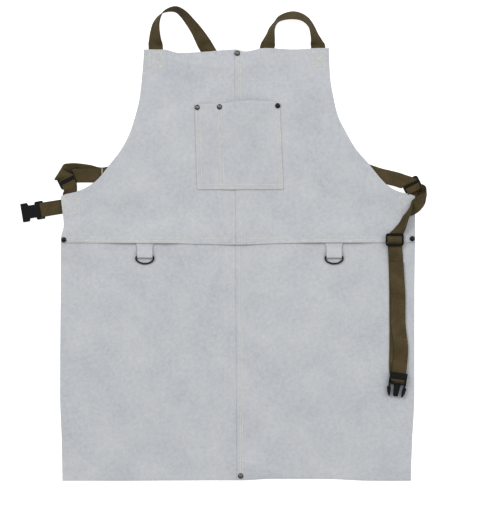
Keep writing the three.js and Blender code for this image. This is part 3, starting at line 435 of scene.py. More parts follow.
# columns: from x, y, to x, y, width, height
FOLDS = [(-115, 322, -24, 308, 34, 2.4), (100, 345, 92, 250, 50, 3), (-212, -125, -200, -430, 65, 4),
         (125, -130, 150, -430, 75, 4), (5, -396, 90, -412, 34, 3), (262, -370, 268, -430, 34, 3),
         (-318, 8, -262, -22, 36, 3)]
CREASES = [(-118, 323, -20, 307, 9, 0.9), (-60, 316, -30, 296, 7, 0.4), (4, -384, 78, -413, 9, 0.9),
           (10, -374, 56, -384, 8, 0.5), (278, -335, 270, -420, 8, 0.7), (-190, -300, -178, -425, 14, 0.5),
           (118, -250, 132, -410, 16, 0.5)]
RIVETS = {"rivet_top": (-4, 330), "rivet_pocket_left": (-74, 235), "rivet_pocket_pen": (-35, 236),
          "rivet_pocket_right": (67, 238), "rivet_waist_left": (-308, 3), "rivet_waist_right": (303, 5),
          "rivet_hem": RIVET_HEM}
RINGS = {"left": -166, "right": 166}
TAB_LIFT, TAB_FLAT = 3.2, 37
# the right waist strap's sewn end, behind the bib's side
SEWN_END = np.linspace((282, 66, 0), (310, 70, 0), 10)
BEHIND = -0.05

behind = [np.column_stack([c["plan"], c["lift"]])[c["side"] < BEHIND]
          for c in (shoulder_left, shoulder_right, shoulder_tail, corner_left, corner_right, waist_left)]
behind = np.vstack([*behind, SEWN_END])[::2]


def line_distance(x, y, x1, y1, x2, y2):
    dx, dy = x2 - x1, y2 - y1
    along = np.clip(((x - x1) * dx + (y - y1) * dy) / (dx ** 2 + dy ** 2), 0, 1)
    return np.hypot(x - x1 - along * dx, y - y1 - along * dy)


def ground(x, y):
    """Floor side of a lone layer of leather: folds, and the webbing and rivet backs under it."""
    x, y = np.broadcast_arrays(np.asarray(x, float), np.asarray(y, float))
    height = sum(fold[5] * plateau(line_distance(x, y, *fold[:4]), 0, fold[4]) for fold in FOLDS + CREASES)
    strap = back = np.zeros(x.shape)
    for sx, sy, lift in behind:
        over = plateau(np.hypot(x - sx, y - sy), DRAPE_FLAT, SOFTEN)
        strap = np.maximum(strap, (lift + WEBBING + LAID_GAP) * over)
    for rx, ry in RIVETS.values():
        back = np.maximum(back, RIVET_LIFT * plateau(np.hypot(x - rx, y - ry), RIVET_FLAT, SOFTEN))
    sway = SWAY * sum(1 + np.sin(x / across + y / along + phase) for across, along, phase in SWAYS)
    return height + strap + back + sway


def seam_x(y):
    return SEAM_TOP_X + (SEAM_HEM_X - SEAM_TOP_X) * (TOP_Y - np.asarray(y, float)) / (TOP_Y - HEM_Y)


def right_of_seam(x, y):
    return plateau(x - seam_x(y), SEAM_LAP / 2 + GAP, SOFTEN)


def left_of_seam(x, y):
    return plateau(seam_x(y) - x, SEAM_LAP / 2 + GAP, SOFTEN)


def above_waist(y):
    return plateau(y, WAIST_HIGH + GAP, SOFTEN)


def below_waist(y):
    return plateau(-y, GAP - WAIST_LOW, SOFTEN)


def tab_lift(x, y):
    aside = np.minimum(*(np.abs(x - ring) for ring in RINGS.values()))
    return TAB_LIFT * plateau(aside, TAB_FLAT, SOFTEN) * above_waist(y)


def panel_floor(name, x, y):
    """Floor side of a panel where it lies on those below it."""
    base = ground(x, y)
    if name == "skirt_left":
        return base
    if name == "skirt_right":
        return base + LAYER * right_of_seam(x, y)
    waist = LAYER * above_waist(y)
    lip = LIP * plateau(y - WAIST_LOW, 0, LIP_DEPTH) * plateau(np.abs(x), LIP_END, SOFTEN)
    base = base + tab_lift(x, y) + lip
    if name == "bib_left":
        return base + waist * (1 + left_of_seam(x, y))
    return base + waist * (1 + right_of_seam(x, y)) + LAYER * right_of_seam(x, y)


def front(x, y):
    """Highest leather face, seams included, for what lies on the apron's front."""
    seam = right_of_seam(x, y) * left_of_seam(x, y)
    waist = above_waist(y) * below_waist(y)
    layers = LAYER * (seam + waist + seam * waist)
    return ground(x, y) + LEATHER + tab_lift(x, y) * below_waist(y) + layers


def wander(x, y):
    """How far the cut top edge, the waist seam and the hem stray from a straight line."""
    top = column_at(*TOP_WAVE.T, x) * ease(1 - (TOP_Y - y) / WAVE_DEPTH)
    waist = column_at(*WAIST_WAVE.T, x) * ease(1 - np.abs(y) / WAIST_WAVE_DEPTH)
    return top + waist + column_at(*HEM_WAVE.T, x) * ease(1 - (y - HEM_Y) / WAVE_DEPTH)


def insets(length, step):
    """Places from one cut edge to the other, close together beside the edges."""
    middle = np.linspace(EDGE_STEPS[-1], length - EDGE_STEPS[-1], max(2, round(length / step)))
    return np.concatenate([EDGE_STEPS[:-1], middle, length - np.array(EDGE_STEPS[-2::-1])])


def edge_fall(inset):
    return EDGE_ROUND * (1 - np.clip(inset / EDGE_STEPS[-1], 0, 1)) ** 2


def skin(x, y, floor, inset, thick=LEATHER):
    """Points and faces of a panel, front and floor side, and where the faces of its cut rim begin."""
    rows, columns = x.shape
    fall = edge_fall(inset)
    points = np.vstack([np.stack([x, y, floor + thick - fall], -1).reshape(-1, 3),
                        np.stack([x, y, floor + BACK_ROUND * fall], -1).reshape(-1, 3)])
    half = rows * columns
    a = (np.arange(rows - 1)[:, None] * columns + np.arange(columns - 1)).ravel()
    over = np.column_stack([a, a + columns, a + columns + 1, a + 1])
    under = np.column_stack([a, a + 1, a + columns + 1, a + columns]) + half
    border = np.concatenate([np.arange(columns), np.arange(2, rows + 1) * columns - 1,
                             np.arange(rows * columns - 2, (rows - 1) * columns - 1, -1),
                             np.arange(rows - 2, 0, -1) * columns])
    after = np.roll(border, -1)
    rim = np.column_stack([border, after, after + half, border + half])
    faces = np.vstack([over, under, rim]).tolist()
    return points, turned_out(points, faces), len(over) + len(under)


# Short suede nap, in metres on the piece: slow clouds, brushed patches, fine fibres and tufts
# columns: scale, detail, roughness, share of the tone, share of the height
NAP_NOISES = [(16, 3, 0.5, 0.26, 0), (150, 4, 0.65, 0.32, 0), (900, 3, 0.65, 0.26, 0.5),
              (330, 2, 0.5, 0.14, 0.6)]
nap, nap_vector, nap_out = new_group("suede_nap", ("Tone", "Height"))
noises = [noise_node(nap, nap_vector, *row[:3]) for row in NAP_NOISES]
for label, column in (("Tone", 3), ("Height", 4)):
    shares = [(noise, row[column]) for noise, row in zip(noises, NAP_NOISES) if row[column]]
    nap.links.new(weighted_sum(nap, *shares), nap_out.inputs[label])

# where in the nap's tone each grey comes, cooler where the nap is dense
NAP_STOPS = [(0.28, (0.328, 0.345, 0.370)), (0.5, (0.446, 0.461, 0.483)),
             (0.74, (0.568, 0.577, 0.588))]
NAP_BUMP = (0.0005, 0.55)


def napped_leather(name, shade):
    """Suede in a grey of the given shade."""
    material, tree, shader = new_material(name, 0.92, Sheen_Weight=0.08, Sheen_Roughness=0.6,
                                          Specular_IOR_Level=0.2)
    brushed = group_node(tree, nap, tree.nodes.new("ShaderNodeTexCoord").outputs["Object"])
    stops = [(place, [shade * value for value in colour]) for place, colour in NAP_STOPS]
    tree.links.new(ramp_node(tree, brushed["Tone"], stops), shader.inputs["Base Color"])
    add_bump(tree, shader, brushed["Height"], *NAP_BUMP)
    return material


split_leather = napped_leather("grey_split_leather", 0.895)
cut_edge = napped_leather("raw_cut_edge", 0.87)


def skived(inset):
    """Thickness pared away beside an edge that is sewn down."""
    return SKIVE * (1 - ease(inset / SKIVE_REACH))


def make_leather(name, node, points, faces, rim_from):
    """A piece of split leather in place of its solid, its cut rim in the edge's shade."""
    piece = make_piece(name, points, faces)
    piece.data.materials.append(split_leather)
    piece.data.materials.append(cut_edge)
    slots = np.zeros(len(faces), np.int32)
    slots[rim_from:] = 1
    piece.data.polygons.foreach_set("material_index", slots)
    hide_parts(node)
    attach(piece, "apron")


def make_panel(name, node, is_left, from_y, to_y):
    """A bib or skirt half, from its outer edge to its lap at the centre seam."""
    y = from_y - insets(from_y - to_y, PANEL_STEP)
    outer = column_at(EDGES[:, 0], EDGES[:, 1 if is_left else 2], y)
    inner = seam_x(y) + (SEAM_LAP / 2 if is_left else -SEAM_LAP / 2)
    wide = np.abs(inner - outer)
    widest = float(np.max(wide))
    share = insets(widest, PANEL_STEP) / widest
    x = outer[:, None] + (inner - outer)[:, None] * share
    y_grid = np.broadcast_to(y[:, None], x.shape)
    from_ends = np.minimum(from_y - y_grid, y_grid - to_y)
    from_sides = np.minimum(share, 1 - share) * wide[:, None]
    pared = 0 if is_left else skived((1 - share) * wide[:, None])
    points, faces, rim_from = skin(x, y_grid + wander(x, y_grid), panel_floor(node, x, y_grid),
                                   np.minimum(from_ends, from_sides), LEATHER - pared)
    make_leather(name, node, points, faces, rim_from)


make_panel("skirt_hide_left", "skirt_left", True, WAIST_HIGH, HEM_Y)
make_panel("skirt_hide_right", "skirt_right", False, WAIST_HIGH, HEM_Y)
make_panel("bib_hide_left", "bib_left", True, TOP_Y, WAIST_LOW)
make_panel("bib_hide_right", "bib_right", False, TOP_Y, WAIST_LOW)


# D-ring loops: two strips of thinner leather, each folded round the ring's bar with both ends sewn
# in under the bib's lower edge.
TAB_LEATHER, TAB_CLEARANCE = 1.3, 0.4
TAB_WIDTH, TAB_SEAM_WIDTH, TAB_TAPER = 26.8, 31.5, 9
TAB_TOP_Y, TAB_SEWN, TAB_CREST = 8, 6, 2
UNDER_STEPS, TURN_STEPS, OVER_STEPS = 16, 15, 22
RING_BAR_Y, RING_WIRE = -26, 3.2
BAR_LIFT = TAB_LEATHER + RING_WIRE / 2 + TAB_CLEARANCE


def loop_profile(foot):
    """Centre line of the folded strip, seen from its side: under layer, round the bar, top layer."""
    middle = TAB_LEATHER / 2
    radius = BAR_LIFT - middle
    under = [(y, middle) for y in np.linspace(TAB_TOP_Y, RING_BAR_Y, UNDER_STEPS)]
    turn = np.radians(np.linspace(270, 90, TURN_STEPS)[1:])
    round_bar = [(RING_BAR_Y + radius * math.cos(a), BAR_LIFT + radius * math.sin(a)) for a in turn]
    low_y = WAIST_LOW - TAB_SEWN
    y_over = np.linspace(RING_BAR_Y, TAB_TOP_Y, OVER_STEPS)[1:]
    drop = ease((y_over - RING_BAR_Y - TAB_CREST) / (low_y - RING_BAR_Y - TAB_CREST))
    over = np.column_stack([y_over, BAR_LIFT + radius + (3 * middle - BAR_LIFT - radius) * drop])
    return np.vstack([under, round_bar, over]) + (0, foot)


def folded_strip(x, foot):
    """Points, faces and flat length of a loop that narrows below the waist seam."""
    line = loop_profile(foot)
    along = unit(np.gradient(line, axis=0))
    narrow = ease((WAIST_LOW - line[:, 0]) / TAB_TAPER)
    half = (TAB_SEAM_WIDTH + (TAB_WIDTH - TAB_SEAM_WIDTH) * narrow) / 2
    zero = np.zeros(len(line))
    up = np.column_stack([zero, -along[:, 1], along[:, 0]]) * (TAB_LEATHER / 2)
    points = sweep(np.column_stack([zero + x, line]), np.outer(half, (1, 0, 0)), up, SECTION)
    return points, turned_out(points, strip_faces(len(line), len(SECTION))), run_along(line)[-1]


for side, x in RINGS.items():
    node = f"dring_tab_{side}"
    points, faces, length = folded_strip(x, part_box(node)[0].z * MM)
    tab = make_piece(f"ring_loop_{side}", points, faces)
    tab.data.materials.append(split_leather)
    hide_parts(node)
    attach(tab, "apron")


# D-rings: black plated steel wire bent to a straight bar and a round bow, welded closed in the bar.
# Each hangs in its leather loop and swings on its bar.
RING_WIDTH, RING_DEPTH, RING_LEG, RING_CORNER = 33.8, 13, 3.5, 2.5
RING_SIDES, CORNER_STEPS, BOW_STEPS, BAR_STEPS = 14, 8, 49, 14
# handling scuffs: noise scales of the rubbed places and the pits, and their shares of the mask
RUB_SCALE, PIT_SCALE, RUB_SHARE, PIT_SHARE, SCUFF_BUMP = 160, 1400, 0.65, 0.35, 0.5

scuff, scuff_vector, scuff_out = new_group("handling_scuffs", ("Mask", "Height"))
rubbed = noise_node(scuff, scuff_vector, RUB_SCALE, detail=4.0, roughness=0.7)
pitted = noise_node(scuff, scuff_vector, PIT_SCALE)
mask = weighted_sum(scuff, (rubbed, RUB_SHARE), (pitted, PIT_SHARE))
scuff.links.new(mask, scuff_out.inputs["Mask"])
scuff.links.new(pitted, scuff_out.inputs["Height"])


def scuffed(name, roughness, stops, rough_stops, bump, **sockets):
    """A hard finish whose colour and gloss vary with handling."""
    material, tree, shader = new_material(name, roughness, **sockets)
    worn = group_node(tree, scuff, tree.nodes.new("ShaderNodeTexCoord").outputs["Object"])
    gloss = [(place, (value, value, value)) for place, value in rough_stops]
    tree.links.new(ramp_node(tree, worn["Mask"], stops), shader.inputs["Base Color"])
    tree.links.new(ramp_node(tree, worn["Mask"], gloss), shader.inputs["Roughness"])
    add_bump(tree, shader, worn["Height"], bump, SCUFF_BUMP)
    return material


black_wire = scuffed("black_plated_wire", 0.4,
                     [(0.35, (0.005, 0.006, 0.005)), (0.75, (0.018, 0.02, 0.018))],
                     [(0.3, 0.36), (0.75, 0.54)], 0.00005, Metallic=0.3, Specular_IOR_Level=0.3)


def ring_line():
    """The wire's centre line on the flat ring, from the right end of its bar."""
    half = (RING_WIDTH - RING_WIRE) / 2
    corner = np.radians(np.linspace(90, 0, CORNER_STEPS))
    right = np.column_stack([half - RING_CORNER + RING_CORNER * np.cos(corner),
                             RING_CORNER * (np.sin(corner) - 1)])
    angle = np.radians(np.linspace(0, -180, BOW_STEPS))
    bow = np.column_stack([half * np.cos(angle), -RING_LEG + (RING_DEPTH - RING_LEG) * np.sin(angle)])
    bar = np.linspace((RING_CORNER - half, 0), (half - RING_CORNER, 0), BAR_STEPS)[1:-1]
    return np.vstack([right, bow, right[::-1] * (-1, 1), bar])


line = ring_line()
ahead = np.roll(line, -1, axis=0) - np.roll(line, 1, axis=0)
zero = np.zeros(len(line))
outward = unit(np.column_stack([ahead[:, 1], -ahead[:, 0], zero])) * (RING_WIRE / 2)
wire = sweep(np.column_stack([line, zero]), outward, np.array([[0, 0, RING_WIRE / 2]]), circle(RING_SIDES))
for side, x in RINGS.items():
    low, high = (corner.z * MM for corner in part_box(f"dring_{side}"))
    bar_z = high - RING_WIRE / 2
    droop = math.asin((bar_z - low - RING_WIRE / 2) / RING_DEPTH)
    points = tipped(wire, droop) + (x, RING_BAR_Y, bar_z)
    faces = turned_out(points, ring_faces(len(line), RING_SIDES, closed=True))
    ring = make_piece(f"ring_{side}", points, faces)
    ring.data.materials.append(black_wire)
    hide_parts(f"dring_{side}")
    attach(ring, f"{side}_ring")


# Chest pocket: one panel of the same leather, sewn to the bib at its sides, its foot and a pen
# division, with its cut top edge standing a little open. Its front is left plain.
POCKET_TOP, POCKET_TOP_RIGHT, POCKET_BOW, POCKET_FOOT = 241.3, 243.8, 4.2, 91
POCKET_LEFT, POCKET_LEFT_FOOT, POCKET_RIGHT, POCKET_RIGHT_FOOT = -79, -75, 71, 77.5
DIVISION, DIVISION_FOOT = -34.5, -30
MOUTH, PEN_MOUTH, MOUTH_ROUND, SEWN_MARGIN, OPEN_DEPTH = 6.5, 3.6, 1.25, 8, 0.9
POCKET_STEP, POCKET_FILL = 3.0, 0.98


def pocket_sides(down):
    """Left edge, pen division and right edge at a share of the way down."""
    left = POCKET_LEFT + (POCKET_LEFT_FOOT - POCKET_LEFT) * down
    right = POCKET_RIGHT + (POCKET_RIGHT_FOOT - POCKET_RIGHT) * down
    return left, DIVISION + (DIVISION_FOOT - DIVISION) * down, right


def pocket_y(x, down):
    left, division, right = pocket_sides(down)
    level = POCKET_TOP + (POCKET_TOP_RIGHT - POCKET_TOP) * (x - left) / (right - left)
    top = level + POCKET_BOW * np.sin(np.pi * np.clip((x - division) / (right - division), 0, 1))
    return top + (POCKET_FOOT - top) * down


def pocket_floor(x, down):
    """Side of the pocket panel that faces the bib, at a place across and a share of the way down."""
    left, division, right = pocket_sides(down)
    swell = 0
    for start, end, mouth in ((left, division, PEN_MOUTH), (division, right, MOUTH)):
        share = np.clip((x - start - SEWN_MARGIN) / (end - start - 2 * SEWN_MARGIN), 0, 1)
        swell = swell + mouth * np.sin(np.pi * share) ** MOUTH_ROUND
    return front(x, pocket_y(x, down)) + LAID_GAP + swell * (1 - ease(down / OPEN_DEPTH))


pocket_tall = (POCKET_TOP + POCKET_TOP_RIGHT) / 2 + POCKET_BOW - POCKET_FOOT
pocket_wide = POCKET_RIGHT_FOOT - POCKET_LEFT_FOOT
down = (insets(pocket_tall, POCKET_STEP) / pocket_tall)[:, None]
share = insets(pocket_wide, POCKET_STEP) / pocket_wide
left, _, right = pocket_sides(down)
x = left + (right - left) * share
from_sides = np.minimum(share, 1 - share) * pocket_wide
inset = np.minimum(np.minimum(down, 1 - down) * pocket_tall, from_sides)
down = np.broadcast_to(down, x.shape)
pared = skived(from_sides)
points, faces, rim_from = skin(x, pocket_y(x, down), pocket_floor(x, down), inset, LEATHER - pared)
make_leather("chest_pocket", "pocket", points, faces, rim_from)


# Rivets: plated steel caps, each a low dome on the front, its post through the layers and a flat cap
# behind, set at the pocket's corners and at the ends of the seams.
CAP_RADIUS, CAP_HEIGHT, BACK_HEIGHT, POST_RADIUS = 4.6, 2.0, 1.1, 1.7
CAP_SEAT, CAP_SIDES = 0.45, 32
DOME_FOOT, DOME_FROM, DOME_TO, DOME_STEPS = 0.9, 8, 84, 9
# rims of the back cap and the front cap: how far inside the cap's radius, and height over its own foot
BACK_RIM = [(0.4, 0), (0.1, 0.15), (0, 0.5), (0.2, BACK_HEIGHT)]
FRONT_RIM = [(0.35, 0), (0, 0.2), (-0.08, 0.55)]
GUNMETAL = [(0.3, (0.011, 0.0105, 0.0115)), (0.7, (0.028, 0.027, 0.029))]
GUNMETAL_GLOSS = [(0.3, 0.26), (0.75, 0.46)]
# painted reflection on the crowns of some caps: its colour, how far up the dome must face to take it, and
# which caps get it
CROWN_HIGHLIGHT = (0.15, 0.15, 0.142, 1)
HIGHLIGHT_FACING = [(0.92, (0, 0, 0)), (0.995, (1, 1, 1))]
HIGHLIGHTED_RIVETS = ("rivet_pocket_left", "rivet_pocket_pen", "rivet_top", "rivet_hem")
# numbers of a colour mix node's sockets
MIX_SHARE, MIX_FIRST, MIX_SECOND, MIX_RESULT = 0, 6, 7, 2

# plain dark caps, and caps that also carry a painted reflection on the crown
gunmetal, highlighted_gunmetal = (scuffed(name, 0.3, GUNMETAL, GUNMETAL_GLOSS, 0.00004, Metallic=1.0)
                             for name in ("dark_plated_rivet", "painted_highlight_rivet"))

# caps with a painted reflection: a lighter metal colour on the flat of the dome, where it faces up
tree = highlighted_gunmetal.node_tree
plating = tree.nodes["Principled BSDF"].inputs["Base Color"]
facing = tree.nodes.new("ShaderNodeSeparateXYZ")
tree.links.new(tree.nodes["Texture Coordinate"].outputs["Normal"], facing.inputs[0])
highlight_mix = tree.nodes.new("ShaderNodeMix")
highlight_mix.data_type = "RGBA"
tree.links.new(ramp_node(tree, facing.outputs["Z"], HIGHLIGHT_FACING), highlight_mix.inputs[MIX_SHARE])
tree.links.new(plating.links[0].from_socket, highlight_mix.inputs[MIX_FIRST])
highlight_mix.inputs[MIX_SECOND].default_value = CROWN_HIGHLIGHT
tree.links.new(highlight_mix.outputs[MIX_RESULT], plating)

for node, (x, y) in RIVETS.items():
    low, high = (corner.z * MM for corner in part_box(node))
    seat = high - CAP_HEIGHT - CAP_SEAT
    foot = seat + DOME_FOOT
    profile = [*((CAP_RADIUS - inset, low + z) for inset, z in BACK_RIM), (POST_RADIUS, low + BACK_HEIGHT),
               (POST_RADIUS, seat), *((CAP_RADIUS - inset, seat + z) for inset, z in FRONT_RIM)]
    profile.extend((CAP_RADIUS * math.cos(a), foot + (high - foot) * math.sin(a))
                   for a in np.radians(np.linspace(DOME_FROM, DOME_TO, DOME_STEPS)))
    radius, z = np.array(profile).T
    centre = np.column_stack([np.full(len(z), x), np.full(len(z), y), z])
    rims = sweep(centre, np.outer(radius, (1, 0, 0)), np.outer(radius, (0, 1, 0)), circle(CAP_SIDES))
    points = np.vstack([(x, y, low), rims, (x, y, high)])
    faces = ring_faces(len(profile), CAP_SIDES, start=1)
    last = 1 + (len(profile) - 1) * CAP_SIDES
    for k in range(CAP_SIDES):
        n = (k + 1) % CAP_SIDES
        faces.extend(([0, 1 + n, 1 + k], [last + k, last + n, len(points) - 1]))
    cap = make_piece(f"{node}_cap", points, turned_out(points, faces))
    # some caps carry the painted reflection on their crowns
    cap.data.materials.append(highlighted_gunmetal if node in HIGHLIGHTED_RIVETS else gunmetal)
    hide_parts(node)
    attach(cap, "apron")


# Right waist strap: sewn behind the bib's side, turned over to the front with a half twist, through
# a slide and down the skirt to the buckle's plug, then back up on itself and sewn across.
WAIST_RIGHT = [
    (282, 66, 0, 90, 0, -1), (306, 68, 0, 96, 0, -1), (313.5, 74.6, 0, 103, 0, 0),
    (319.8, 83.6, 0.2, 110, 2, 0), (323.6, 90.3, 2, 112, 32, 0), (326.6, 90, 2, 101, 62, 0),
    (326.8, 83.5, 3, 99, 68, 0), (322.5, 75.5, 4.4, 112, 48, 0), (315.2, 68, 2.6, 111, 26, 1),
    (308.6, 62.5, 3, 105, 8, 1), (302.5, 58.5, 2.8, 92, 0, 1), (298.2, 56.5, 2.8, 75, 4, 1),
    (296, 55.5, 3.6, 56, 16, 1), (293.2, 48.5, 3.5, 36, 46, 1), (288.2, 36.5, 2.2, 20, 52, 1),
    (281.5, 24, 0.6, 8, 36, 1), (275.2, 14.2, 0.2, 1, 7, 1), (272.5, 10.4, 0.5, 0, 0, 1),
    (272, 5.4, 6, 0, 0, 1), (272, 1, 6, 0, 0, 1), (272.2, -4, 0.5, 0, 0, 1), (272.6, -7.6, 0, 0, 0, 1),
    (274.4, -40, 0, 0, 0, 1), (275.3, -85, 0, 0, 0, 1), (275.6, -190, 0, 0, 0, 1),
    (275, -212, 0.1, 0, 0, 1), (275.4, -230, 0.1, -5, 0, 1), (277.3, -244, 0.2, -8.5, 0, 1),
    (277.1, -246.7, 2.8, -8.5, 0, 1), (277.5, -244, 5.6, -8.5, 0, 1), (279.5, -230, 5.6, -8.5, 0, 1),
    (282.2, -206, 2.6, -4, 0, 1), (283, -184, 2, 0, 0, 1), (280.3, -161, 2, 0, 0, 1),
    (278.6, -145, 2, 0, 0, 1), (278.2, -92, 2, 0, 0, 1), (276.4, -62, 2, 2, 0, 1),
    (274.9, -36, 2, 2, 0, 1),
]


def leather_rest(course):
    """How far the leather lifts a strap that lies on its front."""
    plan, width = course["plan"], course["width"]
    reach = WEBBING_WIDTH / 2
    edges = [front(plan[:, 0] + t * width[:, 0], plan[:, 1] + t * width[:, 1]) for t in (-reach, 0, reach)]
    return np.maximum(0, course["side"]) * (np.max(edges, axis=0) + LAID_GAP)


waist_right = strap_route(WAIST_RIGHT)
waist_right_rest = leather_rest(waist_right)
make_strap("waist_webbing_right", "waist_strap_right", [waist_right], [waist_right_rest])


# Slides: black moulded three-bar frames for one-inch webbing, with rounded bars. Two join the
# shoulder straps to the corner straps, and one sets the waist strap's length.
SLIDE_WIDTH, SLIDE_HEIGHT, SLIDE_THICK, SLIDE_CORNER, SLIDE_ROUND = 32, 23, 3, 5.2, 1.0
SLOT_WIDTH, SLOT_CORNER = 25.5, 1.0
# columns: x, y, turn, height of the underside, and each slot's inner and outer edge
CORNER_SLIDES = {"corner_slide_left": (-302, 106.5, 26, 3.9, 2.4, 6),
                 "corner_slide_right": (301.6, 99.8, 26, 3.9, 1.6, 5.4)}
WAIST_SLOT = (1.6, 7.6)
WAIST_SLIDE_X, WAIST_SLIDE_Y, WAIST_SLIDE_REACH, WAIST_SLIDE_ABOVE = 272, 3.2, 10, 2.1
WELD = 0.00001

black_plastic = scuffed("black_moulded_plastic", 0.45,
                        [(0.35, (0.0026, 0.003, 0.0028)), (0.75, (0.006, 0.0066, 0.0062))],
                        [(0.3, 0.46), (0.75, 0.62)], 0.00006, Specular_IOR_Level=0.1)


def rounded_outline(corners, radius, steps=5, share=0.45):
    """A closed outline with its corners rounded off, each over at most a share of the sides it joins."""
    corners = np.asarray(corners, float)
    outline = []
    for i, spot in enumerate(corners):
        back, ahead = corners[i - 1] - spot, corners[(i + 1) % len(corners)] - spot
        reach = min(radius, share * np.linalg.norm(back), share * np.linalg.norm(ahead))
        start = spot + back / np.linalg.norm(back) * reach
        end = spot + ahead / np.linalg.norm(ahead) * reach
        for t in np.linspace(0, 1, steps):
            outline.append((1 - t) ** 2 * start + 2 * t * (1 - t) * spot + t * t * end)
    return np.array(outline)


def oblong(x1, x2, y1, y2, radius):
    return rounded_outline([(x1, y1), (x2, y1), (x2, y2), (x1, y2)], radius)


def moulded(loops, low, high, rounding):
    """A flat moulding between two heights: the first loop outside, the others holes, all edges rounded."""
    curve = bpy.data.curves.new("moulding", "CURVE")
    curve.dimensions = "2D"
    curve.fill_mode = "BOTH"
    curve.extrude = (high - low) / 2 - rounding
    curve.bevel_depth = rounding
    curve.bevel_resolution = 3
    curve.offset = -rounding
    for loop in loops:
        spline = curve.splines.new("POLY")
        spline.points.add(len(loop) - 1)
        spots = np.column_stack([loop, np.zeros(len(loop)), np.ones(len(loop))])
        spline.points.foreach_set("co", spots.ravel())
        spline.use_cyclic_u = True
    holder = bpy.data.objects.new("moulding", curve)
    bpy.context.scene.collection.objects.link(holder)
    mesh = bpy.data.meshes.new_from_object(holder.evaluated_get(bpy.context.evaluated_depsgraph_get()))
    points = np.array([v.co[:] for v in mesh.vertices]) + (0, 0, (low + high) / 2)
    faces = [list(p.vertices) for p in mesh.polygons]
    bpy.data.objects.remove(holder)
    bpy.data.curves.remove(curve)
    bpy.data.meshes.remove(mesh)
    return points, faces


def block(x1, x2, y1, y2, corner, low, high, rounding):
    return moulded([oblong(x1, x2, y1, y2, corner)], low, high, rounding)


def make_moulding(name, node, points, faces):
    """A black moulded piece with flat faces kept flat and its rounded edges smooth."""
    piece = make_piece(name, points, faces)
    weld = piece.modifiers.new("weld", "WELD")
    weld.merge_threshold = WELD
    normals = piece.modifiers.new("normals", "WEIGHTED_NORMAL")
    normals.keep_sharp = True
    piece.data.materials.append(black_plastic)
    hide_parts(node)
    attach(piece, "apron")


def slide_frame(inner, outer):
    """A slide on its own plan, with a slot on each side of its middle bar."""
    reach, slot = SLIDE_WIDTH / 2, SLOT_WIDTH / 2
    rim = oblong(-reach, reach, -SLIDE_HEIGHT / 2, SLIDE_HEIGHT / 2, SLIDE_CORNER)
    slots = [oblong(-slot, slot, y1, y2, SLOT_CORNER) for y1, y2 in ((-outer, -inner), (inner, outer))]
    return moulded([rim, *slots], 0, SLIDE_THICK, SLIDE_ROUND)


def turned(points, degrees):
    c, s = math.cos(math.radians(degrees)), math.sin(math.radians(degrees))
    return points @ np.array([[c, s, 0], [-s, c, 0], [0, 0, 1]])


for node, (x, y, turn, bottom, inner, outer) in CORNER_SLIDES.items():
    points, faces = slide_frame(inner, outer)
    make_moulding(f"{node}_frame", node, turned(points, turn) + (x, y, bottom), faces)


def slide_rest(y):
    """Highest leather under the waist slide's webbing at one height of the plan."""
    return max(front(WAIST_SLIDE_X + t * WEBBING_WIDTH / 2, y).item() for t in (-1, 0, 1))


below = slide_rest(WAIST_SLIDE_Y - WAIST_SLIDE_REACH)
above = slide_rest(WAIST_SLIDE_Y + WAIST_SLIDE_REACH)
slope = math.atan2(above - below, 2 * WAIST_SLIDE_REACH)
rest = max(slide_rest(WAIST_SLIDE_Y), (below + above) / 2) + LAID_GAP + WAIST_SLIDE_ABOVE
points, faces = slide_frame(*WAIST_SLOT)
points = tipped(points, slope) + (WAIST_SLIDE_X, WAIST_SLIDE_Y, rest)
make_moulding("waist_slide_frame", "waist_slide", points, faces)


# Buckle socket: the hollow half of a side-release buckle, black moulded plastic, with a webbing bar,
# a waist with open side windows and a mouth for the plug's prongs.
SOCKET_X, SOCKET_Y, SOCKET_TURN, SOCKET_BOTTOM = -343, 56, 189.4, 0.4
SOCKET_THICK, SOCKET_WALL, RELIEF_SUNK, RELIEF_RISE = 8.8, 2.0, 0.8, 0.35
SHELL_CORNER, FLOOR_ROUND, ROOF_ROUND, RELIEF_CORNER, RELIEF_ROUND = 1.3, 0.7, 0.8, 1.6, 0.3
SHELL = [(0, -16), (13, -16), (14.5, -11.5), (26, -11.5), (27.5, -16.5), (39.5, -16.5), (39.5, 16.5),
         (27.5, 16.5), (26, 11.5), (14.5, 11.5), (13, 16), (0, 16), (0, 12.8), (7.2, 12.8), (7.2, -12.8),
         (0, -12.8)]
RELIEF = [(16.5, -8.2), (25.5, -8.2), (27.8, -12.8), (36.5, -12.8), (36.5, 12.8), (27.8, 12.8), (25.5, 8.2),
          (16.5, 8.2)]
# columns: from x, to x, from y, to y, corner, low, high, rounding of the edges
SOCKET_BLOCKS = [(0, 13.6, 12.8, 16, 0.8, 0.4, 8.4, 0.6), (0, 13.6, -16, -12.8, 0.8, 0.4, 8.4, 0.6),
                 (7.2, 14.8, -14.8, 14.8, 0.8, 1.4, 7.4, 0.5), (27.4, 39.4, 13.6, 16.5, 0.8, 1.4, 7.4, 0.5),
                 (27.4, 39.4, -16.5, -13.6, 0.8, 1.4, 7.4, 0.5), (0, 4, -14.6, 14.6, 0.8, 2.2, 5.3, 1.2)]

shell = rounded_outline(SHELL, SHELL_CORNER)
relief = rounded_outline(RELIEF, RELIEF_CORNER)
points, faces = joined(
    moulded([shell], 0, SOCKET_WALL, FLOOR_ROUND),
    moulded([shell], SOCKET_THICK - SOCKET_WALL, SOCKET_THICK, ROOF_ROUND),
    moulded([relief], SOCKET_THICK - RELIEF_SUNK, SOCKET_THICK + RELIEF_RISE, RELIEF_ROUND),
    *(block(*row) for row in SOCKET_BLOCKS),
)
points = turned(points, SOCKET_TURN) + (SOCKET_X, SOCKET_Y, SOCKET_BOTTOM)
make_moulding("buckle_socket", "buckle_female", points, faces)


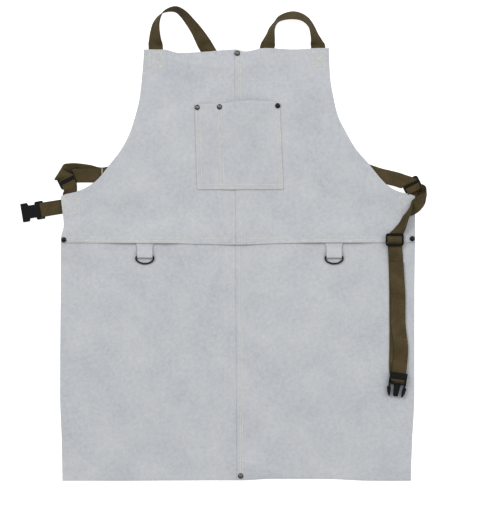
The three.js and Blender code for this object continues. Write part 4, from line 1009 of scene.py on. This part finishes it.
# Buckle plug: the other half, with a keeper across the webbing, an anchor bar it turns round, a
# guide tongue and two springy prongs with catches.
PLUG_X, PLUG_Y, PLUG_TURN, PLUG_REACH = 277.5, -243.8, -98.5, 16
PRONG_LOW, PRONG_HIGH, PRONG_CORNER, PRONG_ROUND = 2.4, 7, 1.6, 1.0
PRONG = [(6, 12), (11, 11.6), (14, 9.8), (22, 9.6), (29, 10.4), (29.3, 11.8), (22, 15.6), (13.5, 17.2),
         (12, 16.8), (11.4, 14.9), (6, 15)]
TONGUE = [(6, -5.6), (16, -5.5), (28, -4.3), (28, 4.3), (16, 5.5), (6, 5.6)]
# columns: as for the socket
PLUG_BLOCKS = [(-14, 7.2, 13.2, 15.4, 0.9, 0, 10, 0.8), (-14, 7.2, -15.4, -13.2, 0.9, 0, 10, 0.8),
               (4.5, 7.2, -15.2, 15.2, 0.9, 0.6, 9.2, 0.8), (-14, -3, -15.4, 15.4, 2.0, 7.9, 10.2, 0.9),
               (-0.8, 1.2, -14, 14, 0.7, 2.6, 4.7, 0.9), (7, 26.5, -0.9, 0.9, 0.6, 6, 7.7, 0.6)]

tongue, prong = (moulded([rounded_outline(outline, PRONG_CORNER)], PRONG_LOW, PRONG_HIGH, PRONG_ROUND)
                 for outline in (TONGUE, PRONG))
other_prong = (prong[0] * (1, -1, 1), [face[::-1] for face in prong[1]])
points, faces = joined(*(block(*row) for row in PLUG_BLOCKS), tongue, prong, other_prong)
spread = (-PLUG_REACH, 0, PLUG_REACH)
plug_rest = max(front(PLUG_X + dx, PLUG_Y + dy).item() for dx in spread for dy in spread) + LAID_GAP
points = turned(points, PLUG_TURN) + (PLUG_X, PLUG_Y, plug_rest)
make_moulding("buckle_plug", "buckle_male", points, faces)


# Stitching: heat-proof thread, cream along the seams and pale yellow in the boxes. Two rows hold each
# lapped seam and the pocket, crossed boxes hold the straps, and tacks close the straps' turned-back ends.
THREAD, THREAD_FLAT, THREAD_BUMP = 0.62, 0.55, (0.0001, 0.5)
THREAD_DRIFT, THREAD_TWIST, TWIST_STRAY = 130, 700, 2
STITCH, STITCH_PITCH, LOOK, LINE_STEPS = 3.0, 3.5, 0.5, 60
# how far a stitch may be pulled down, in thicknesses, and the share that is lost in the nap
SUNK, PULLED, LOST = 1.8, 0.25, 0.12
# along one stitch: place, thickness and height over the leather
STITCH_SHAPE = [(-0.5, 0.35, -0.35), (-0.4, 0.85, 0.0), (-0.2, 1.0, 0.22), (0.0, 1.0, 0.28),
                (0.2, 1.0, 0.22), (0.4, 0.85, 0.0), (0.5, 0.35, -0.35)]
STITCH_SIDES = 6


def spun_thread(name, stops):
    """Twisted thread whose colour drifts from stitch to stitch."""
    material, tree, shader = new_material(name, 0.75, Sheen_Weight=0.1, Specular_IOR_Level=0.25)
    place = tree.nodes.new("ShaderNodeTexCoord").outputs["Object"]
    drift = noise_node(tree, place, THREAD_DRIFT, detail=3.0)
    tree.links.new(ramp_node(tree, drift, stops), shader.inputs["Base Color"])
    twist = tree.nodes.new("ShaderNodeTexWave")
    twist.inputs["Scale"].default_value = THREAD_TWIST
    twist.inputs["Distortion"].default_value = TWIST_STRAY
    tree.links.new(place, twist.inputs["Vector"])
    add_bump(tree, shader, twist.outputs["Fac"], *THREAD_BUMP)
    return material


cream_thread = spun_thread("cream_thread", [(0.35, (0.495, 0.50, 0.455)), (0.65, (0.60, 0.60, 0.53))])
yellow_thread = spun_thread("pale_yellow_thread", [(0.36, (0.54, 0.50, 0.42)), (0.5, (0.57, 0.56, 0.45)),
                                                   (0.64, (0.63, 0.60, 0.37))])
khaki_thread = spun_thread("khaki_thread", [(0.42, (0.06, 0.047, 0.022)), (0.62, (0.26, 0.23, 0.16))])


def along_line(line, pitch):
    """Middles and headings of stitches down a line of plan points."""
    run = run_along(line)
    count = max(1, round(run[-1] / pitch))
    at = (np.arange(count) + 0.5) * run[-1] / count
    back, middle, ahead = (np.column_stack([np.interp(at + step, run, line[:, k]) for k in (0, 1)])
                           for step in (-LOOK, 0, LOOK))
    return middle, unit(ahead - back)


hand = np.random.default_rng(7)

stitch_faces = ring_faces(len(STITCH_SHAPE), STITCH_SIDES)
stitch_faces.append(list(reversed(range(STITCH_SIDES))))
stitch_faces.append([k + (len(STITCH_SHAPE) - 1) * STITCH_SIDES for k in range(STITCH_SIDES)])


def stitches(lines, height, length=STITCH, pitch=STITCH_PITCH, radius=THREAD, lost=LOST):
    """Every stitch along the lines, lying on a surface of that height, some pulled down into the nap."""
    place, thick, rise = np.array(STITCH_SHAPE).T
    up = np.outer(THREAD_FLAT * radius * thick, (0, 0, 1))
    threads = []
    for line in lines:
        middle, heading = along_line(line, pitch)
        first, last = (height(*(middle + heading * (t * length)).T) for t in (-0.5, 0.5))
        depth = np.where(hand.random(len(middle)) < lost, SUNK, PULLED) * radius * hand.random(len(middle))
        for i, (hx, hy) in enumerate(heading):
            z = first[i] + (last[i] - first[i]) * (place + 0.5) + rise - depth[i]
            centre = np.column_stack([middle[i] + np.outer(place * length, heading[i]), z])
            side = np.outer(radius * thick, (-hy, hx, 0))
            threads.append((sweep(centre, side, up, circle(STITCH_SIDES)), stitch_faces))
    return joined(*threads)


def sew(name, material, *runs):
    """One piece from runs of stitches in one thread."""
    piece = make_piece(name, *joined(*runs))
    piece.data.materials.append(material)
    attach(piece, "apron")


def on_panel(node):
    return lambda x, y: panel_floor(node, x, y) + LEATHER


def beside_seam(y1, y2, shift):
    y = np.linspace(y1, y2, LINE_STEPS)
    return np.column_stack([seam_x(y) + shift, y + wander(seam_x(y), y)])


def along_waist(x1, x2, y):
    x = np.linspace(x1, x2, LINE_STEPS)
    return np.column_stack([x, y + wander(x, y)])


# shifts of the two rows from the centre seam's middle, and their heights at the waist seam
SEAM_ROWS, WAIST_ROWS = (0.8, 4.4), (2.6, 7.6)
# sewn stretches of both seams: the upper panel, from where, to where
SEAM_RUNS = [("bib_right", TOP_Y - 3, POCKET_TOP + 9), ("bib_right", POCKET_FOOT - 2, WAIST_LOW + 2),
             ("skirt_right", WAIST_LOW - 2, HEM_Y + 3)]
waist_lap = seam_x((WAIST_LOW + WAIST_HIGH) / 2).item() - SEAM_LAP / 2
WAIST_RUNS = [("bib_left", -302, waist_lap - 1), ("bib_right", waist_lap + 1, 297)]
sew("centre_seam_stitches", cream_thread,
    *(stitches([beside_seam(y1, y2, shift) for shift in SEAM_ROWS], on_panel(panel))
      for panel, y1, y2 in SEAM_RUNS))
sew("waist_seam_stitches", cream_thread,
    *(stitches([along_waist(x1, x2, y) for y in WAIST_ROWS], on_panel(panel))
      for panel, x1, x2 in WAIST_RUNS))

# columns: side (0 left, 1 pen division, 2 right), shift from it, share of the way down where the row starts
POCKET_ROWS = [(0, 2.4, 0.11), (0, 9.2, 0.02), (1, -2.6, 0.11), (1, 2.9, 0.11), (2, -7.6, 0.02),
               (2, -1.8, 0.11)]
FOOT_ROWS, FOOT_MARGIN = (2.6, 9), 3
SEWN_DOWN_TO, SIDE_STEPS, SETTLE_ROUNDS = 0.975, 50, 6


def pocket_top_face(x, y):
    """Front of the pocket panel at a place on the plan, found in a few rounds."""
    down = np.clip((POCKET_TOP + POCKET_BOW - y) / pocket_tall, 0, 1)
    for _ in range(SETTLE_ROUNDS):
        down = np.clip(down + (pocket_y(x, down) - y) / pocket_tall, 0, 1)
    left, _, right = pocket_sides(down)
    return pocket_floor(x, down) + LEATHER - skived(np.minimum(x - left, right - x))


def pocket_upright(side, shift, top):
    down = np.linspace(top, SEWN_DOWN_TO, SIDE_STEPS)
    x = pocket_sides(down)[side] + shift
    return np.column_stack([x, pocket_y(x, down)])


def pocket_level(rise):
    return np.linspace((POCKET_LEFT_FOOT + FOOT_MARGIN, POCKET_FOOT + rise),
                       (POCKET_RIGHT_FOOT - FOOT_MARGIN, POCKET_FOOT + rise), LINE_STEPS)


sew("pocket_stitches", cream_thread,
    stitches([*(pocket_upright(*row) for row in POCKET_ROWS), *(pocket_level(rise) for rise in FOOT_ROWS)],
             pocket_top_face))

BOX_STITCH, BOX_PITCH, BOX_THREAD, BOX_STEPS = 2.8, 3.1, 0.7, 20
BOX_LINES = [(0, 1), (1, 2), (2, 3), (3, 0), (0, 2), (1, 3)]
# each box: the panel it is sewn on, its sides and its turn, and the share of its stitches lost in the nap
BOXES = [("bib_left", (-158, -136, 306, 331, 0), 0.4), ("bib_left", (-310, -281, 50, 75.5, 4), 0.75),
         ("bib_right", (128.6, 149.9, 308, 333, 0), 0.4), ("bib_right", (279, 306, 54.4, 77, -4), 0.75)]


def crossed_box(x1, x2, y1, y2, turn):
    """Outline and diagonals of a box of stitching."""
    middle = np.array([(x1 + x2) / 2, (y1 + y2) / 2])
    c, s = math.cos(math.radians(turn)), math.sin(math.radians(turn))
    spots = np.array([(x1, y1), (x2, y1), (x2, y2), (x1, y2)]) - middle
    corners = middle + spots @ np.array([[c, s], [-s, c]])
    return [np.linspace(corners[a], corners[b], BOX_STEPS) for a, b in BOX_LINES]


sew("strap_box_stitches", yellow_thread,
    *(stitches(crossed_box(*box), on_panel(panel), BOX_STITCH, BOX_PITCH, BOX_THREAD, lost)
      for panel, box, lost in BOXES))

# tacks: both ends of each row, and the length, pitch and thickness of the stitches
TAIL_TACK, TAIL_STITCH, TAIL_LIFT = [((x, 117), (x, 128.4)) for x in (-241.6, -240.6)], (2.0, 2.2, 0.45), 2
WAIST_TACK, WAIST_STITCH, WAIST_TACK_Y = [((271, -169.5), (294, -172))], (2.2, 2.6, 0.36), -170
TACK_STEPS = 16
doubled = strap_frames(waist_right, waist_right_rest)[0]
tail_end = doubled[len(doubled) * 2 // 3:]
doubled_z = tail_end[np.argmin(np.abs(tail_end[:, 1] - WAIST_TACK_Y)), 2]
for name, thread, tack, top, sizes in (
        ("tail_tack", yellow_thread, TAIL_TACK, TAIL_LIFT + WEBBING, TAIL_STITCH),
        ("waist_tack", khaki_thread, WAIST_TACK, doubled_z + WEBBING / 2, WAIST_STITCH)):
    rows = [np.linspace(*ends, TACK_STEPS) for ends in tack]
    sew(name, thread, stitches(rows, lambda x, y: np.full(x.shape, top), *sizes))


# Studio: a plain pale floor, large soft lights and a camera looking straight down on the apron.
PHOTO_TALL, MM_PER_PIXEL, PHOTO_MIDDLE = 508, 1.755, (2.63, -21.94)
LENS, SENSOR = 300, 36
FLOOR_REACH, FLOOR_Z, FLOOR_GLOW, STUDIO_GLOW = 4, -0.0004, 0.82, 0.62

floor_mesh = bpy.data.meshes.new("floor")
floor_mesh.from_pydata([(x * FLOOR_REACH, y * FLOOR_REACH, FLOOR_Z)
                        for x, y in ((-1, -1), (1, -1), (1, 1), (-1, 1))], [], [[0, 1, 2, 3]])
floor = bpy.data.objects.new("floor", floor_mesh)
bpy.context.scene.collection.objects.link(floor)
paper = new_material("white_paper", 0.9, Specular_IOR_Level=0.1, Base_Color=(0.5, 0.5, 0.5, 1),
                     Emission_Color=(1, 1, 1, 1), Emission_Strength=FLOOR_GLOW)[0]
floor_mesh.materials.append(paper)

world = bpy.data.worlds.new("studio")
bpy.context.scene.world = world
world.use_nodes = True
background = world.node_tree.nodes["Background"]
background.inputs["Color"].default_value = (1, 1, 1, 1)
background.inputs["Strength"].default_value = STUDIO_GLOW


def soft_light(name, place, size, power):
    """A square lamp that faces the origin."""
    light = bpy.data.lights.new(name, "AREA")
    light.shape = "SQUARE"
    light.size = size
    light.energy = power
    holder = bpy.data.objects.new(name, light)
    holder.location = place
    holder.rotation_euler = (-holder.location).to_track_quat("-Z", "Y").to_euler()
    bpy.context.scene.collection.objects.link(holder)


soft_light("key_light", (-3.0, 2.4, 4.8), 3.4, 190)
soft_light("fill_light", (3.2, 1.8, 4.8), 4.0, 160)

camera_data = bpy.data.cameras.new("camera")
camera_data.lens = LENS
camera_data.sensor_width = SENSOR
camera = bpy.data.objects.new("camera", camera_data)
height = LENS / SENSOR * PHOTO_TALL * MM_PER_PIXEL
camera.location = ((PHOTO_MIDDLE[0] + HOME[0]) / MM, (PHOTO_MIDDLE[1] + HOME[1]) / MM, height / MM)
bpy.context.scene.collection.objects.link(camera)
bpy.context.scene.camera = camera
bpy.context.scene.view_settings.view_transform = "Standard"
